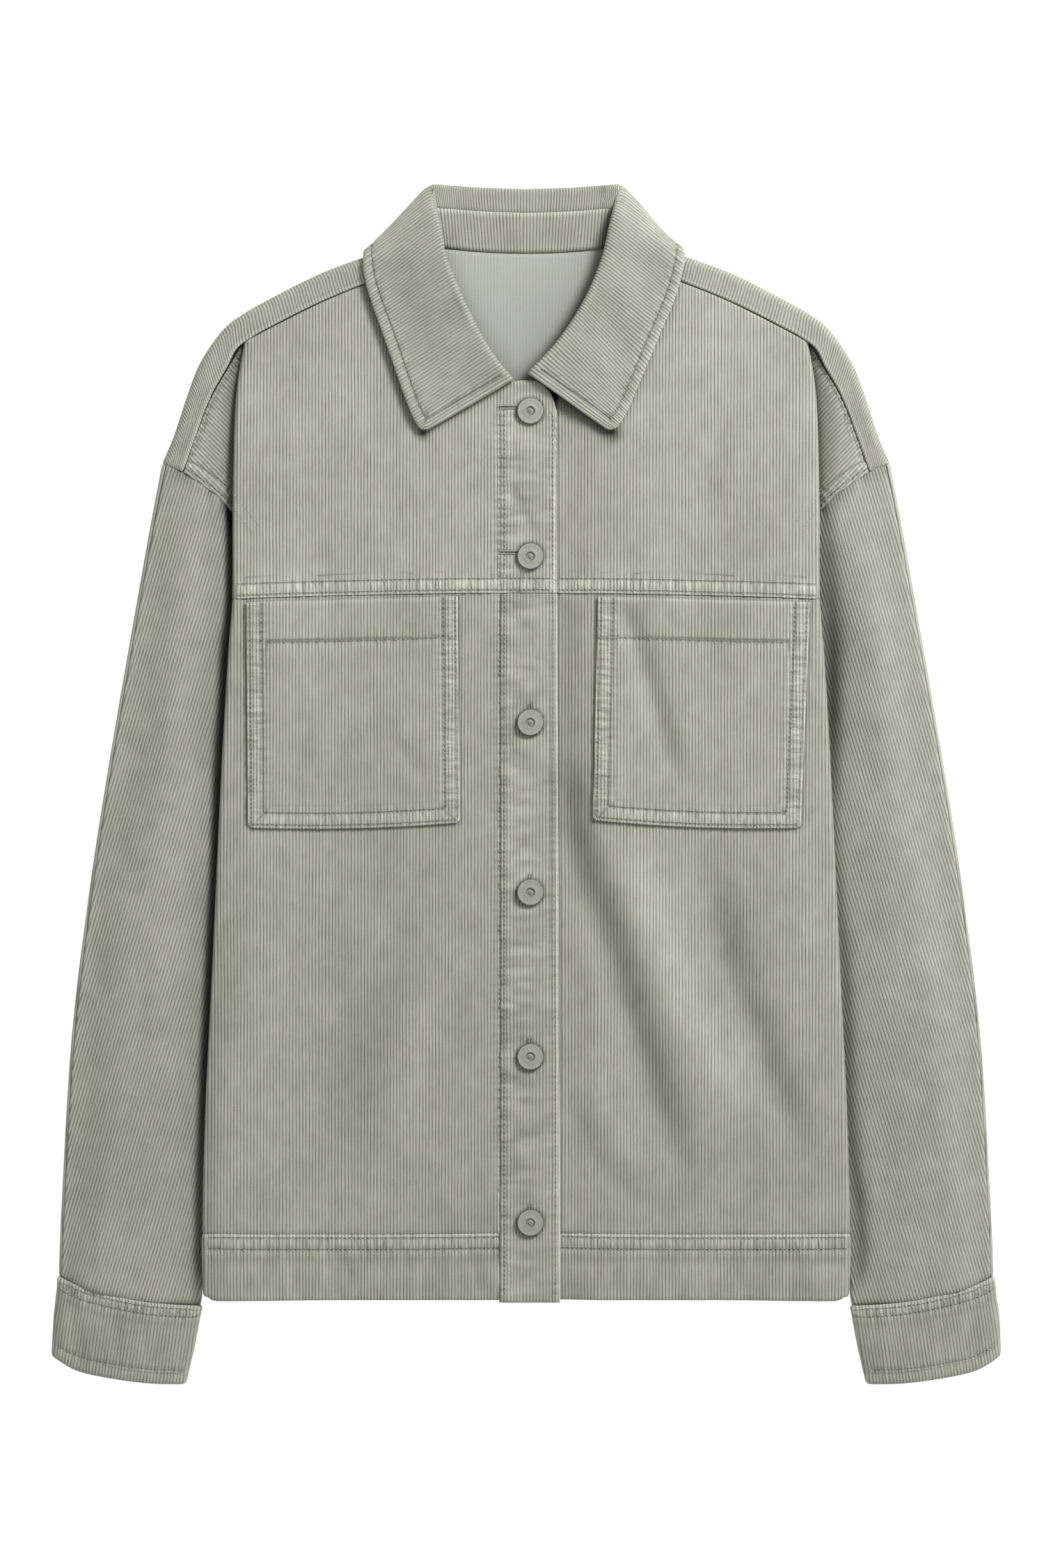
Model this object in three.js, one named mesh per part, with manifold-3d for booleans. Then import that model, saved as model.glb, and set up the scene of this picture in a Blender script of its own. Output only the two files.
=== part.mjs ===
// A buttoned corduroy overshirt jacket, lying flat on its back with its front up.
// Millimetres. +X is to the viewer's right, +Y toward the collar, +Z up from the surface it lies on.
// The origin is on that surface, under the middle of the garment.
// In the tables, d is the distance from the centre line, the same on both sides.
import * as THREE from "three";
import Module from "manifold-3d";
import { mergeVertices } from "three/addons/utils/BufferGeometryUtils.js";

const wasm = await Module();
wasm.setup();

// Cloth
const PLY = 1.6;
const DOUBLE_PLY = 2.6;
const SEAM_GAP = 0.3;
const FLOOR_PLY = PLY / 2;

// How high the layers lie, measured to the middle of the cloth
const FRONT_REST = 7.4;
const SIDE_RISE = 5.6;
const SHOULDER_RISE = 2.2;
const UNDERLAP_DROP = 2.7;
const FOLD_RADIUS = 2.5;
const HIDDEN_SHOULDER = 4.6;
const SLEEVE_MARGIN = 5.6;
const SLEEVE_CROWN = 6.5;
const BACK_NECK_LIFT = 3.1;
const LEAF_OVER_FRONT = 2.45;
const COLLAR_ROLL = 2.4;

// Buttons
const BUTTON_RADIUS = 8.75;
const BUTTON_X = 2.7;
const BUTTON_Y = [242.2, 147.9, 39.8, -70.6, -177.5, -285.4];

// Placket of the upper front, and the hidden underlap of the other
const PLACKET_EDGE = { top: 19.4, hem: 21.6 };
const PLACKET_STITCH = -17.3;
const UNDERLAP_EDGE = -19;
const HEM = -335.6;
const PLACKET_HEM = -337.2;

// Fold down the side of the body, from the pleat's top to the hem
const BODY_FOLD = [
  { y: 286, d: 183 },
  { y: 262, d: 187 },
  { y: 238, d: 188.8 },
  { y: 175, d: 190 },
  { y: 120, d: 190.3 },
  { y: 84, d: 193 },
  { y: 10, d: 197.3 },
  { y: -125, d: 203.6 },
  { y: -216, d: 208 },
  { y: -300, d: 209.8 },
  { y: -338, d: 208.6 },
];

// Side seam, on the underside where the front turned under meets the back
const SIDE_SEAM = [
  { y: 122, d: 148 },
  { y: 80, d: 150.5 },
  { y: -60, d: 164 },
  { y: -160, d: 180 },
  { y: -260, d: 196 },
  { y: -338, d: 200 },
];

// Edge of the sleeve beside and under the body
const SLEEVE_INNER = [
  { y: 122, d: 154 },
  { y: 80, d: 155 },
  { y: -60, d: 168 },
  { y: -160, d: 184 },
  { y: -255, d: 200 },
  { y: -293, d: 204.5 },
  { y: -325, d: 211 },
  { y: -340, d: 212.6 },
];

const SLEEVE_OUTER = [
  { d: 236.4, y: 208 },
  { d: 247.7, y: 148 },
  { d: 271.4, y: 11.6 },
  { d: 285.5, y: -81 },
  { d: 295.9, y: -170 },
  { d: 302.3, y: -279 },
  { d: 303.8, y: -321 },
];

const CUFF_SEAM = [
  { d: 303.8, y: -321 },
  { d: 288, y: -328 },
  { d: 267.7, y: -333.2 },
  { d: 243, y: -337.6 },
  { d: 212.6, y: -340 },
];

const CUFF_HEM = [
  { d: 308.3, y: -372.5 },
  { d: 292, y: -381.3 },
  { d: 267.7, y: -386.4 },
  { d: 243, y: -389.6 },
  { d: 222.7, y: -390.4 },
];

// Folded line of the shoulder, the seam in front of it, and the armhole
const SHOULDER_FOLD = [
  { d: 66, y: 348.5 },
  { d: 88, y: 345.5 },
  { d: 104, y: 342.4 },
  { d: 131.8, y: 332.5 },
  { d: 160.7, y: 318.4 },
  { d: 186.4, y: 303.9 },
  { d: 199.1, y: 292.7 },
  { d: 211.8, y: 273.6 },
  { d: 219.5, y: 254.3 },
  { d: 229, y: 225.7 },
  { d: 236.4, y: 208.4 },
];

const FRONT_SHOULDER_SEAM = [
  { d: 64.5, y: 339.5 },
  { d: 103, y: 325.2 },
  { d: 131.8, y: 313.4 },
  { d: 160.7, y: 299.1 },
  { d: 181, y: 288.5 },
];

const DROP_SHOULDER_SEAM = [
  { d: 186, y: 284.5 },
  { d: 194.1, y: 270.4 },
  { d: 205.5, y: 249.8 },
  { d: 215, y: 225.7 },
  { d: 223, y: 202.5 },
];

const ARMHOLE = [
  { d: 236.4, y: 208.2 },
  { d: 223, y: 202.5 },
  { d: 203.6, y: 189 },
  { d: 190, y: 175 },
  { d: 171, y: 150 },
  { d: 154, y: 122 },
];

// Neckline of each front, from the placket's top corner to the shoulder
const NECKLINE_LEFT = [
  { d: -19.4, y: 243 },
  { d: -17, y: 252 },
  { d: -10, y: 260 },
  { d: 0, y: 262 },
  { d: 19, y: 261 },
  { d: 30, y: 271.5 },
  { d: 44.5, y: 287.7 },
  { d: 56.3, y: 310.5 },
  { d: 62.5, y: 328 },
  { d: 64.5, y: 339.5 },
];

const NECKLINE_RIGHT = [
  { d: -17, y: 236 },
  { d: -13, y: 249 },
  { d: -4, y: 256 },
  { d: 11.5, y: 263.5 },
  { d: 27, y: 275 },
  { d: 43, y: 291 },
  { d: 55.5, y: 312 },
  { d: 62.5, y: 329 },
  { d: 64.5, y: 339.5 },
];

// Collar: where it rolls over, and the outer edge of its leaf, from the centre back to each point
const COLLAR_LEFT = [
  { rollD: 0, rollY: 384, edgeD: 0, edgeY: 338 },
  { rollD: 30, rollY: 385, edgeD: 36, edgeY: 338.5 },
  { rollD: 50, rollY: 386.5, edgeD: 74, edgeY: 341.5 },
  { rollD: 61.5, rollY: 387, edgeD: 98, edgeY: 348.5 },
  { rollD: 62.5, rollY: 382, edgeD: 105, edgeY: 347 },
  { rollD: 61.6, rollY: 375, edgeD: 105.4, edgeY: 344.4 },
  { rollD: 60.3, rollY: 368.5, edgeD: 105.5, edgeY: 338 },
  { rollD: 58, rollY: 358, edgeD: 103.7, edgeY: 324.3 },
  { rollD: 54.5, rollY: 340, edgeD: 98.7, edgeY: 308.4 },
  { rollD: 45.5, rollY: 317.5, edgeD: 91.5, edgeY: 288.9 },
  { rollD: 34.5, rollY: 294.5, edgeD: 83, edgeY: 263.9 },
  { rollD: 23.5, rollY: 276.5, edgeD: 75, edgeY: 242.5 },
  { rollD: 12.5, rollY: 264, edgeD: 68.2, edgeY: 231 },
];

const COLLAR_RIGHT = [
  { rollD: 0, rollY: 384, edgeD: 0, edgeY: 338 },
  { rollD: 30, rollY: 385, edgeD: 36, edgeY: 338.5 },
  { rollD: 50, rollY: 386.5, edgeD: 74, edgeY: 341.5 },
  { rollD: 61, rollY: 387, edgeD: 96, edgeY: 348.5 },
  { rollD: 61.5, rollY: 382, edgeD: 102.5, edgeY: 347.4 },
  { rollD: 60.4, rollY: 376, edgeD: 102.8, edgeY: 345 },
  { rollD: 59, rollY: 370, edgeD: 102.3, edgeY: 338.5 },
  { rollD: 56.5, rollY: 360, edgeD: 99.5, edgeY: 325 },
  { rollD: 52.5, rollY: 342, edgeD: 94, edgeY: 309 },
  { rollD: 45, rollY: 322, edgeD: 85.5, edgeY: 289.5 },
  { rollD: 35, rollY: 303, edgeD: 74, edgeY: 262 },
  { rollD: 21, rollY: 283.5, edgeD: 65.5, edgeY: 241.5 },
  { rollD: 5.5, rollY: 268.5, edgeD: 57.7, edgeY: 231 },
];

// How the collar turns from behind the neck to the front, ring by ring of the tables above:
// the height of its roll, of the leaf's edge (used behind the neck only), how far the neckline
// lies from the roll, and how the inner side leans (90 above the leaf, -90 under it).
const COLLAR_TURN = [
  { rollZ: 4.6, edgeZ: 1.35, neckD: 0, neckY: 345, lean: 90 },
  { rollZ: 4.6, edgeZ: 1.35, neckD: 27, neckY: 346, lean: 90 },
  { rollZ: 5, edgeZ: 1.35, neckD: 47, neckY: 348, lean: 85 },
  { rollZ: 6.6, edgeZ: 2.6, neckD: 54, neckY: 348.5, lean: 45 },
  { rollZ: 8.4, edgeZ: 5.6, neckD: 54.2, neckY: 345.5, lean: 10 },
  { rollZ: 10, edgeZ: 10.2, neckD: 54.4, neckY: 342, lean: -25 },
  { rollZ: 11.6, edgeZ: 12.4, neckD: 54.6, neckY: 338, lean: -60 },
];

// Patch pockets: corners as distance from the centre line and height
const POCKETS = {
  left: { innerTop: [44.8, 121.6], outerTop: [181.4, 117.6], innerHem: [43.4, -25.2], outerHem: [180.2, -28.4] },
  right: { innerTop: [47, 121.6], outerTop: [184, 117.6], innerHem: [43.6, -23.6], outerHem: [177.8, -28.6] },
};
const POCKET_BOW = 2;
const POCKET_LIFT = PLY + SEAM_GAP + 0.2;

// Seams across the body
const yokeSeam = (d) => 124.2 - 2.6 * (d / 100) ** 2 * 0.45;
const bandSeam = (d) => -292.6 - 1.2 * Math.sin((Math.PI * d) / 210);

// Largest creases: a soft trough (or ridge, where depth is negative) along a line
const CREASES = [
  { x1: 22, y1: 15, x2: 118, y2: -262, width: 17, depth: 1.9 },
  { x1: 113, y1: -130, x2: 168, y2: -255, width: 13, depth: -1.4 },
  { x1: 154, y1: -157, x2: 182, y2: -233, width: 9, depth: 1.5 },
  { x1: -82, y1: -143, x2: -121, y2: -276, width: 14, depth: 1.4 },
];

const COLOURS = { cloth: 0x9fa295, cuff: 0x989b8c, button: 0x8f9383 };

const mix = THREE.MathUtils.lerp;

// Rises from 0 to 1, with level ends, as value goes from one number to the other
function smooth(from, to, value) {
  const t = THREE.MathUtils.clamp((value - from) / (to - from), 0, 1);
  return t * t * (3 - 2 * t);
}

// A smooth value between the rows of a table, for a key that only rises or only falls
function lookup(table, key, column, at) {
  const falls = table[0][key] > table[table.length - 1][key];
  const rowsUp = falls ? [...table].reverse() : table;
  const last = rowsUp.length - 1;
  const k = rowsUp.findIndex((row, i) => i > 0 && (at <= row[key] || i === last));
  const slope = (i) => {
    const low = rowsUp[Math.max(i - 1, 0)];
    const high = rowsUp[Math.min(i + 1, last)];
    return (high[column] - low[column]) / (high[key] - low[key]);
  };
  const a = rowsUp[k - 1];
  const b = rowsUp[k];
  const h = b[key] - a[key];
  const t = THREE.MathUtils.clamp((at - a[key]) / h, 0, 1);
  return (
    (1 + 2 * t) * (1 - t) ** 2 * a[column] +
    t * (1 - t) ** 2 * h * slope(k - 1) +
    t * t * (3 - 2 * t) * b[column] +
    t * t * (t - 1) * h * slope(k)
  );
}

// A curve through the rows of a table, read by the share of its length
function curve(table) {
  const spline = new THREE.SplineCurve(table.map((row) => new THREE.Vector2(row.d, row.y)));
  return (t) => spline.getPointAt(THREE.MathUtils.clamp(t, 0, 1));
}

// A four-sided patch between four curves that meet at its corners
function patch(bottom, top, inner, outer) {
  return (u, v) => {
    const edge = (axis) =>
      (1 - v) * bottom(u)[axis] +
      v * top(u)[axis] +
      (1 - u) * inner(v)[axis] +
      u * outer(v)[axis] -
      (1 - u) * (1 - v) * bottom(0)[axis] -
      u * (1 - v) * bottom(1)[axis] -
      (1 - u) * v * top(0)[axis] -
      u * v * top(1)[axis];
    return { d: edge("x"), y: edge("y") };
  };
}

const foldAt = (y) => lookup(BODY_FOLD, "y", "d", y);

function creaseAt(x, y) {
  const reach = (c) => {
    const dx = c.x2 - c.x1;
    const dy = c.y2 - c.y1;
    const length = Math.hypot(dx, dy);
    const along = ((x - c.x1) * dx + (y - c.y1) * dy) / length;
    const across = ((x - c.x1) * dy - (y - c.y1) * dx) / length;
    const ends = smooth(-c.width, length * 0.25, along) * (1 - smooth(length * 0.7, length + c.width, along));
    return -c.depth * ends * Math.exp(-((across / c.width) ** 2));
  };
  return CREASES.reduce((sum, c) => sum + reach(c), 0);
}

// Height of the middle of the front's cloth
function frontHeight(x, y) {
  const d = Math.abs(x);
  const fold = foldAt(y);
  const side = SIDE_RISE * smooth(fold - 85, fold - 14, d) * (1 - smooth(190, 284, y));
  const hem = 1 - 0.1 * smooth(-250, -330, y);
  return FRONT_REST + side * hem + SHOULDER_RISE * smooth(150, 300, y) + creaseAt(x, y);
}

// Height of the drop shoulder, which is hidden under the pleat and rises outside it
const dropHeight = (d, y) => mix(HIDDEN_SHOULDER, FRONT_REST + SHOULDER_RISE, smooth(-4, 16, d - foldAt(y)));

// Height of the back, which lifts over the collar's leaf behind the neck
const backHeight = (d, y) => FLOOR_PLY + BACK_NECK_LIFT * smooth(318, 334, y) * (1 - smooth(94, 125, d));

// Moves the border points of a grid inward, so that neighbours stay a seam's gap apart
function trim(grid, sides, by = SEAM_GAP / 2 + 0.02) {
  const pull = (p, q) => p.add(q.clone().sub(p).setLength(by));
  const last = grid.length - 1;
  const end = grid[0].length - 1;
  if (sides.includes("first")) grid[0].forEach((p, j) => pull(p, grid[1][j]));
  if (sides.includes("last")) grid[last].forEach((p, j) => pull(p, grid[last - 1][j]));
  if (sides.includes("start")) grid.forEach((row) => pull(row[0], row[1]));
  if (sides.includes("end")) grid.forEach((row) => pull(row[end], row[end - 1]));
  return grid;
}

function normals(grid, ring) {
  const rows = grid.length;
  const columns = grid[0].length;
  return grid.map((row, i) =>
    row.map((_, j) => {
      const before = ring ? row[(j + columns - 1) % columns] : row[Math.max(j - 1, 0)];
      const after = ring ? row[(j + 1) % columns] : row[Math.min(j + 1, columns - 1)];
      const across = after.clone().sub(before);
      const along = grid[Math.min(i + 1, rows - 1)][j].clone().sub(grid[Math.max(i - 1, 0)][j]);
      return across.cross(along).normalize();
    }),
  );
}

// A closed wall of cloth around a grid of points in its middle. A ring grid joins its last
// column to its first. thickness may be a function of the row and the column.
function cloth(grid, thickness = PLY, ring = false) {
  const rows = grid.length;
  const columns = grid[0].length;
  const normal = normals(grid, ring);
  const at = typeof thickness === "function" ? thickness : () => thickness;
  const positions = [];
  for (const face of [0.5, -0.5])
    for (let i = 0; i < rows; i++)
      for (let j = 0; j < columns; j++)
        positions.push(...grid[i][j].clone().addScaledVector(normal[i][j], face * at(i, j)).toArray());
  const id = (side, i, j) => side * rows * columns + i * columns + (j % columns);
  const faces = [];
  const quad = (a, b, c, d) => faces.push(a, b, c, a, c, d);
  const spans = ring ? columns : columns - 1;
  for (let i = 0; i < rows - 1; i++)
    for (let j = 0; j < spans; j++) {
      quad(id(0, i, j), id(0, i, j + 1), id(0, i + 1, j + 1), id(0, i + 1, j));
      quad(id(1, i, j), id(1, i + 1, j), id(1, i + 1, j + 1), id(1, i, j + 1));
    }
  for (let j = 0; j < spans; j++) {
    quad(id(0, 0, j), id(1, 0, j), id(1, 0, j + 1), id(0, 0, j + 1));
    quad(id(0, rows - 1, j), id(0, rows - 1, j + 1), id(1, rows - 1, j + 1), id(1, rows - 1, j));
  }
  if (!ring)
    for (let i = 0; i < rows - 1; i++) {
      quad(id(0, i, 0), id(0, i + 1, 0), id(1, i + 1, 0), id(1, i, 0));
      quad(id(0, i, spans), id(1, i, spans), id(1, i + 1, spans), id(0, i + 1, spans));
    }
  return outward(positions, faces);
}

// Turns the faces of a closed mesh outward
function outward(positions, faces) {
  const geometry = new THREE.BufferGeometry();
  geometry.setAttribute("position", new THREE.Float32BufferAttribute(positions, 3));
  const point = (k) => new THREE.Vector3().fromArray(positions, 3 * k);
  let volume = 0;
  for (let f = 0; f < faces.length; f += 3)
    volume += point(faces[f]).dot(point(faces[f + 1]).cross(point(faces[f + 2])));
  geometry.setIndex(volume < 0 ? faces.reverse() : faces);
  return geometry;
}

function toManifold(geometry) {
  const merged = mergeVertices(geometry, 1e-4);
  return new wasm.Manifold(
    new wasm.Mesh({
      numProp: 3,
      vertProperties: new Float32Array(merged.attributes.position.array),
      triVerts: new Uint32Array(merged.index.array),
    }),
  );
}

function join(...geometries) {
  const mesh = geometries
    .map(toManifold)
    .reduce((a, b) => a.add(b))
    .getMesh();
  const joined = new THREE.BufferGeometry();
  joined.setAttribute("position", new THREE.BufferAttribute(mesh.vertProperties, 3));
  joined.setIndex(new THREE.BufferAttribute(mesh.triVerts, 1));
  return joined;
}

const jacket = new THREE.Group();

function place(name, geometry, colour = COLOURS.cloth, roughness = 0.95, metalness = 0) {
  const material = new THREE.MeshStandardMaterial({ color: colour, roughness, metalness });
  const mesh = new THREE.Mesh(geometry, material);
  mesh.name = name;
  jacket.add(mesh);
}

const shares = (count, from = 0, to = 1) => Array.from({ length: count + 1 }, (_, i) => mix(from, to, i / count));

// From the edge of the top layer round the side fold and back in over the sleeve's edge. hold is
// how far in the under layer stays level, and foot lists where it then comes down to.
function turnUnder(side, y, topZ, hold, foot) {
  const radius = FOLD_RADIUS;
  const start = foldAt(y) - radius;
  const turn = shares(3, 1 / 3, 1).map((t) => {
    const angle = Math.PI * (0.5 - t);
    return { d: start + radius * Math.cos(angle), z: topZ - radius + radius * Math.sin(angle) };
  });
  const level = { d: hold, z: topZ - 2 * radius };
  return [...turn, level, ...foot].map(({ d, z }) => new THREE.Vector3(side * d, y, z));
}

// Where the front turned under comes down beside the sleeve to the side seam
const sideFoot = (seam, ply) => [
  { d: seam + 0.2, z: 4.4 },
  { d: seam - 1.6, z: ply / 2 + 0.5 },
  { d: seam - 4, z: ply / 2 + 0.1 },
];

// Lower front: top layer from the centre to the side fold, then turned under to the side seam
function lowerFront(side, innerEdge, drop) {
  const columns = [0, 0.05, 0.1, 0.16, 0.24, 0.33, 0.42, 0.51, 0.6, 0.69, 0.78, 0.86, 0.93, 1];
  const grid = shares(12).map((v) => {
    const point = (u) => {
      const guess = mix(bandSeam(0), yokeSeam(0), v);
      const d = mix(innerEdge(guess), foldAt(guess) - FOLD_RADIUS, u);
      const y = mix(bandSeam(d), yokeSeam(d), v);
      const x = side * mix(innerEdge(y), foldAt(y) - FOLD_RADIUS, u);
      return new THREE.Vector3(x, y, frontHeight(x, y) - drop(x));
    };
    const top = columns.map(point);
    const last = top[top.length - 1];
    const seam = lookup(SIDE_SEAM, "y", "d", last.y);
    return [...top, ...turnUnder(side, last.y, last.z, seam + 2.6, sideFoot(seam, PLY))];
  });
  return trim(grid, ["first", "last", "end"]);
}

const underlapDrop = (x) => UNDERLAP_DROP * (1 - smooth(24, 48, x));
const bandDrop = (x) => 1.2 * underlapDrop(x);
const noDrop = () => 0;
const placketEdge = (y) => -mix(PLACKET_EDGE.top, PLACKET_EDGE.hem, smooth(240, HEM, y));

// The placket's lower end, which runs on over the end of the hem band
function placketFoot() {
  const grid = shares(3, bandSeam(0) + 6, PLACKET_HEM).map((y) =>
    shares(4).map((u) => {
      const x = mix(PLACKET_STITCH + SEAM_GAP, -placketEdge(y), u);
      return new THREE.Vector3(x, y, frontHeight(x, y));
    }),
  );
  return cloth(grid, DOUBLE_PLY);
}

// Yoke: Coons patch from the yoke seam to the neckline and shoulder, with the pleat turned under
function yoke(side, neckline, innerEdge, drop) {
  const seam = (u) => {
    const d = mix(innerEdge, foldAt(yokeSeam(190)) - FOLD_RADIUS, u);
    return { x: d, y: yokeSeam(Math.max(d, 0)) };
  };
  const corner = neckline[0];
  const top = curve([...neckline.slice(0, -1), ...FRONT_SHOULDER_SEAM]);
  const inner = (v) => ({ x: mix(innerEdge, corner.d, v), y: mix(seam(0).y, corner.y, v) });
  const outer = (v) => {
    const y = mix(seam(1).y, top(1).y, v);
    return { x: mix(foldAt(y) - FOLD_RADIUS, top(1).x, smooth(0.9, 1, v)), y };
  };
  const at = patch(seam, top, inner, outer);
  const columns = [0, 0.06, 0.12, 0.19, 0.27, 0.35, 0.43, 0.51, 0.59, 0.67, 0.75, 0.83, 0.91, 1];
  const grid = shares(10).map((v) => {
    const row = columns.map((u) => {
      const { d, y } = at(u, v);
      const x = side * d;
      return new THREE.Vector3(x, y, frontHeight(x, y) - drop(x));
    });
    const last = row[row.length - 1];
    const depth = mix(22, 8, smooth(0.3, 1, v));
    const armhole = lookup(ARMHOLE, "y", "d", Math.min(last.y, 205));
    const end = Math.min(foldAt(last.y) - depth, armhole - 4);
    const hold = Math.min(foldAt(last.y) - depth + 4, armhole + 1.5);
    return [...row, ...turnUnder(side, last.y, last.z, hold, [{ d: end, z: HIDDEN_SHOULDER + 0.3 }])];
  });
  return trim(grid, ["first", "last"]);
}

// Drop shoulder: the part of the yoke that comes out from under the pleat to the armhole
function dropShoulder(side) {
  const visible = ARMHOLE.slice(1);
  const armhole = curve([...visible].reverse());
  const seam = curve([...DROP_SHOULDER_SEAM].reverse());
  const hidden = (v) => ({ x: mix(armhole(0).x, 180, v), y: mix(armhole(0).y, 281, v) });
  const short = (u) => ({ x: mix(180, seam(1).x, u), y: mix(281, seam(1).y, u) });
  const at = patch(armhole, short, hidden, seam);
  const grid = shares(7).map((v) =>
    shares(5).map((u) => {
      const { d, y } = at(u, v);
      return new THREE.Vector3(side * d, y, dropHeight(d, y));
    }),
  );
  return trim(grid, ["first", "end"], 0.9);
}

const HEM_TOP = bandSeam(0) - 0.6;
const BACK_CLEAR = 4.5;
const BACK_ROWS = [0, 0.12, 0.25, 0.38, 0.5, 0.61, 0.72, 0.8, 0.87, 0.92, 0.95, 0.975, 1];

// Back: a flat panel whose shoulders roll up and over to the seam in front of them
function backPanel(side) {
  const roll = (FRONT_REST + SHOULDER_RISE - FLOOR_PLY) / 2;
  const fold = curve(SHOULDER_FOLD);
  const inset = (t) => {
    const p = fold(t);
    const q = fold(Math.min(t + 0.01, 1));
    const r = fold(Math.max(t - 0.01, 0));
    const along = q.clone().sub(r).normalize();
    return p.clone().add(new THREE.Vector2(along.y, -along.x).multiplyScalar(roll));
  };
  const neck = (t) => ({ x: mix(0, 60, t), y: 345 + 4 * t * t });
  const neckShare = 0.28;
  const top = (u) => {
    if (u < neckShare) return neck(u / neckShare);
    const p = inset((u - neckShare) / (1 - neckShare));
    const start = 1 - smooth(neckShare, neckShare + 0.08, u);
    return { x: p.x, y: mix(p.y, neck(1).y, start) };
  };
  const armholeIn = curve([...ARMHOLE].reverse());
  const seamAt = (y) => lookup(SIDE_SEAM, "y", "d", y);
  const armShare = 0.28;
  const outer = (v) => {
    if (v > 1 - armShare) {
      const p = armholeIn((v - 1 + armShare) / armShare);
      const near = smooth(0.9, 1, v);
      const clear = mix(armholeIn(0).x - seamAt(armholeIn(0).y) + BACK_CLEAR, 4, smooth(0, 0.3, 1 + (v - 1) / armShare));
      return { x: mix(p.x - clear, top(1).x, near), y: mix(p.y, top(1).y, near) };
    }
    const y = mix(HEM_TOP, armholeIn(0).y, v / (1 - armShare));
    return { x: seamAt(y) - BACK_CLEAR, y };
  };
  const bottom = (u) => ({ x: u * outer(0).x, y: HEM_TOP });
  const centre = (v) => ({ x: 0, y: mix(HEM_TOP, neck(0).y, v) });
  const at = patch(bottom, top, centre, outer);
  const flat = BACK_ROWS.map((v) =>
    shares(8).map((u) => {
      const { d, y } = at(u, v);
      return new THREE.Vector3(side * d, y, backHeight(d, y));
    }),
  );
  const seamLine = curve([{ d: 68, y: 338.5 }, ...FRONT_SHOULDER_SEAM.slice(1, -1), ...DROP_SHOULDER_SEAM]);
  const strip = shares(12).map((t) => {
    const edge = fold(t);
    const centreLine = inset(t);
    const out = edge.clone().sub(centreLine);
    const low = backHeight(edge.x, edge.y - 10);
    const radius = (FRONT_REST + SHOULDER_RISE - low) / 2;
    const seam = seamLine(t);
    const around = shares(4).map((s) => {
      const angle = Math.PI * (s - 0.5);
      const p = centreLine.clone().addScaledVector(out, Math.cos(angle));
      return new THREE.Vector3(side * p.x, p.y, low + radius + radius * Math.sin(angle));
    });
    const inward = centreLine.clone().addScaledVector(out, -1.2);
    const first = new THREE.Vector3(side * inward.x, inward.y, low);
    const end = new THREE.Vector3(side * seam.x, seam.y, FRONT_REST + SHOULDER_RISE);
    const half = around.at(-1).clone().lerp(end, 0.5);
    return [first, ...around, half, end];
  });
  return { flat: trim(flat, ["first", "end"]), strip: trim(strip, ["end", "last"], 1.8) };
}


function mirrorGrid(grid) {
  return grid.map((row) => [...row.slice(1).map((p) => new THREE.Vector3(-p.x, p.y, p.z)).reverse(), ...row]);
}

// Hem band, in three lengths: one along the back and one along each front
function bandFront(side, innerEdge, drop) {
  const grid = shares(3).map((v) => {
    const point = (u) => {
      const foldIn = foldAt(-315) - FOLD_RADIUS;
      const d = mix(innerEdge, foldIn, u);
      const corner = 5 * (smooth(0.93, 1, u) ** 2);
      const y = mix(bandSeam(d), HEM + corner, v);
      const x = side * d;
      return new THREE.Vector3(x, y, frontHeight(x, y) - drop(x));
    };
    const top = shares(12).map(point);
    const last = top[top.length - 1];
    const seam = lookup(SIDE_SEAM, "y", "d", last.y);
    return [...top, ...turnUnder(side, last.y, last.z, seam + 2.6, sideFoot(seam, DOUBLE_PLY))];
  });
  return trim(grid, ["first", "start", "end"]);
}

function bandBack() {
  const grid = shares(3, HEM_TOP, HEM + 1).map((y) => {
    const reach = lookup(SIDE_SEAM, "y", "d", y) - BACK_CLEAR;
    return shares(8, -1, 1).map((u) => new THREE.Vector3(u * reach, y, DOUBLE_PLY / 2));
  });
  return trim(grid, ["first", "start", "end"], SEAM_GAP);
}

function pocket(side, corners) {
  const at = (u, v) => {
    const top = [0, 1].map((k) => mix(corners.innerTop[k], corners.outerTop[k], u));
    const hem = [0, 1].map((k) => mix(corners.innerHem[k], corners.outerHem[k], u));
    const bow = POCKET_BOW * Math.sin(Math.PI * u) * v;
    return { d: mix(top[0], hem[0], v), y: mix(top[1], hem[1], v) - bow };
  };
  const grid = shares(8).map((v) =>
    shares(8).map((u) => {
      const { d, y } = at(u, v);
      const x = side * d;
      return new THREE.Vector3(x, y, frontHeight(x, y) + POCKET_LIFT);
    }),
  );
  return trim(grid, ["first"]);
}

// Sleeve: a flattened tube between the armhole and the cuff seam. across runs from the outer
// edge (0) to the inner edge (1), along from the armhole to the cuff.
const innerCurve = curve(SLEEVE_INNER.map(({ y, d }) => ({ d, y })));
const sleevePlan = patch(curve(ARMHOLE), curve(CUFF_SEAM), curve(SLEEVE_OUTER), innerCurve);

function sleeveTop(d, y, along, share) {
  const outside = d - foldAt(Math.max(y, -330));
  const hidden = SLEEVE_MARGIN - 0.4;
  const width = smooth(0, 0.3, share) * (1 - smooth(0.75, 1, share));
  const crown = SLEEVE_CROWN * smooth(-2, 42, outside) * width;
  const atArmhole = dropHeight(d, y);
  const low = mix(FRONT_REST, hidden, smooth(0.1, 0.6, share));
  return mix(atArmhole, low + crown, smooth(0, 0.16, along));
}

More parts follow.
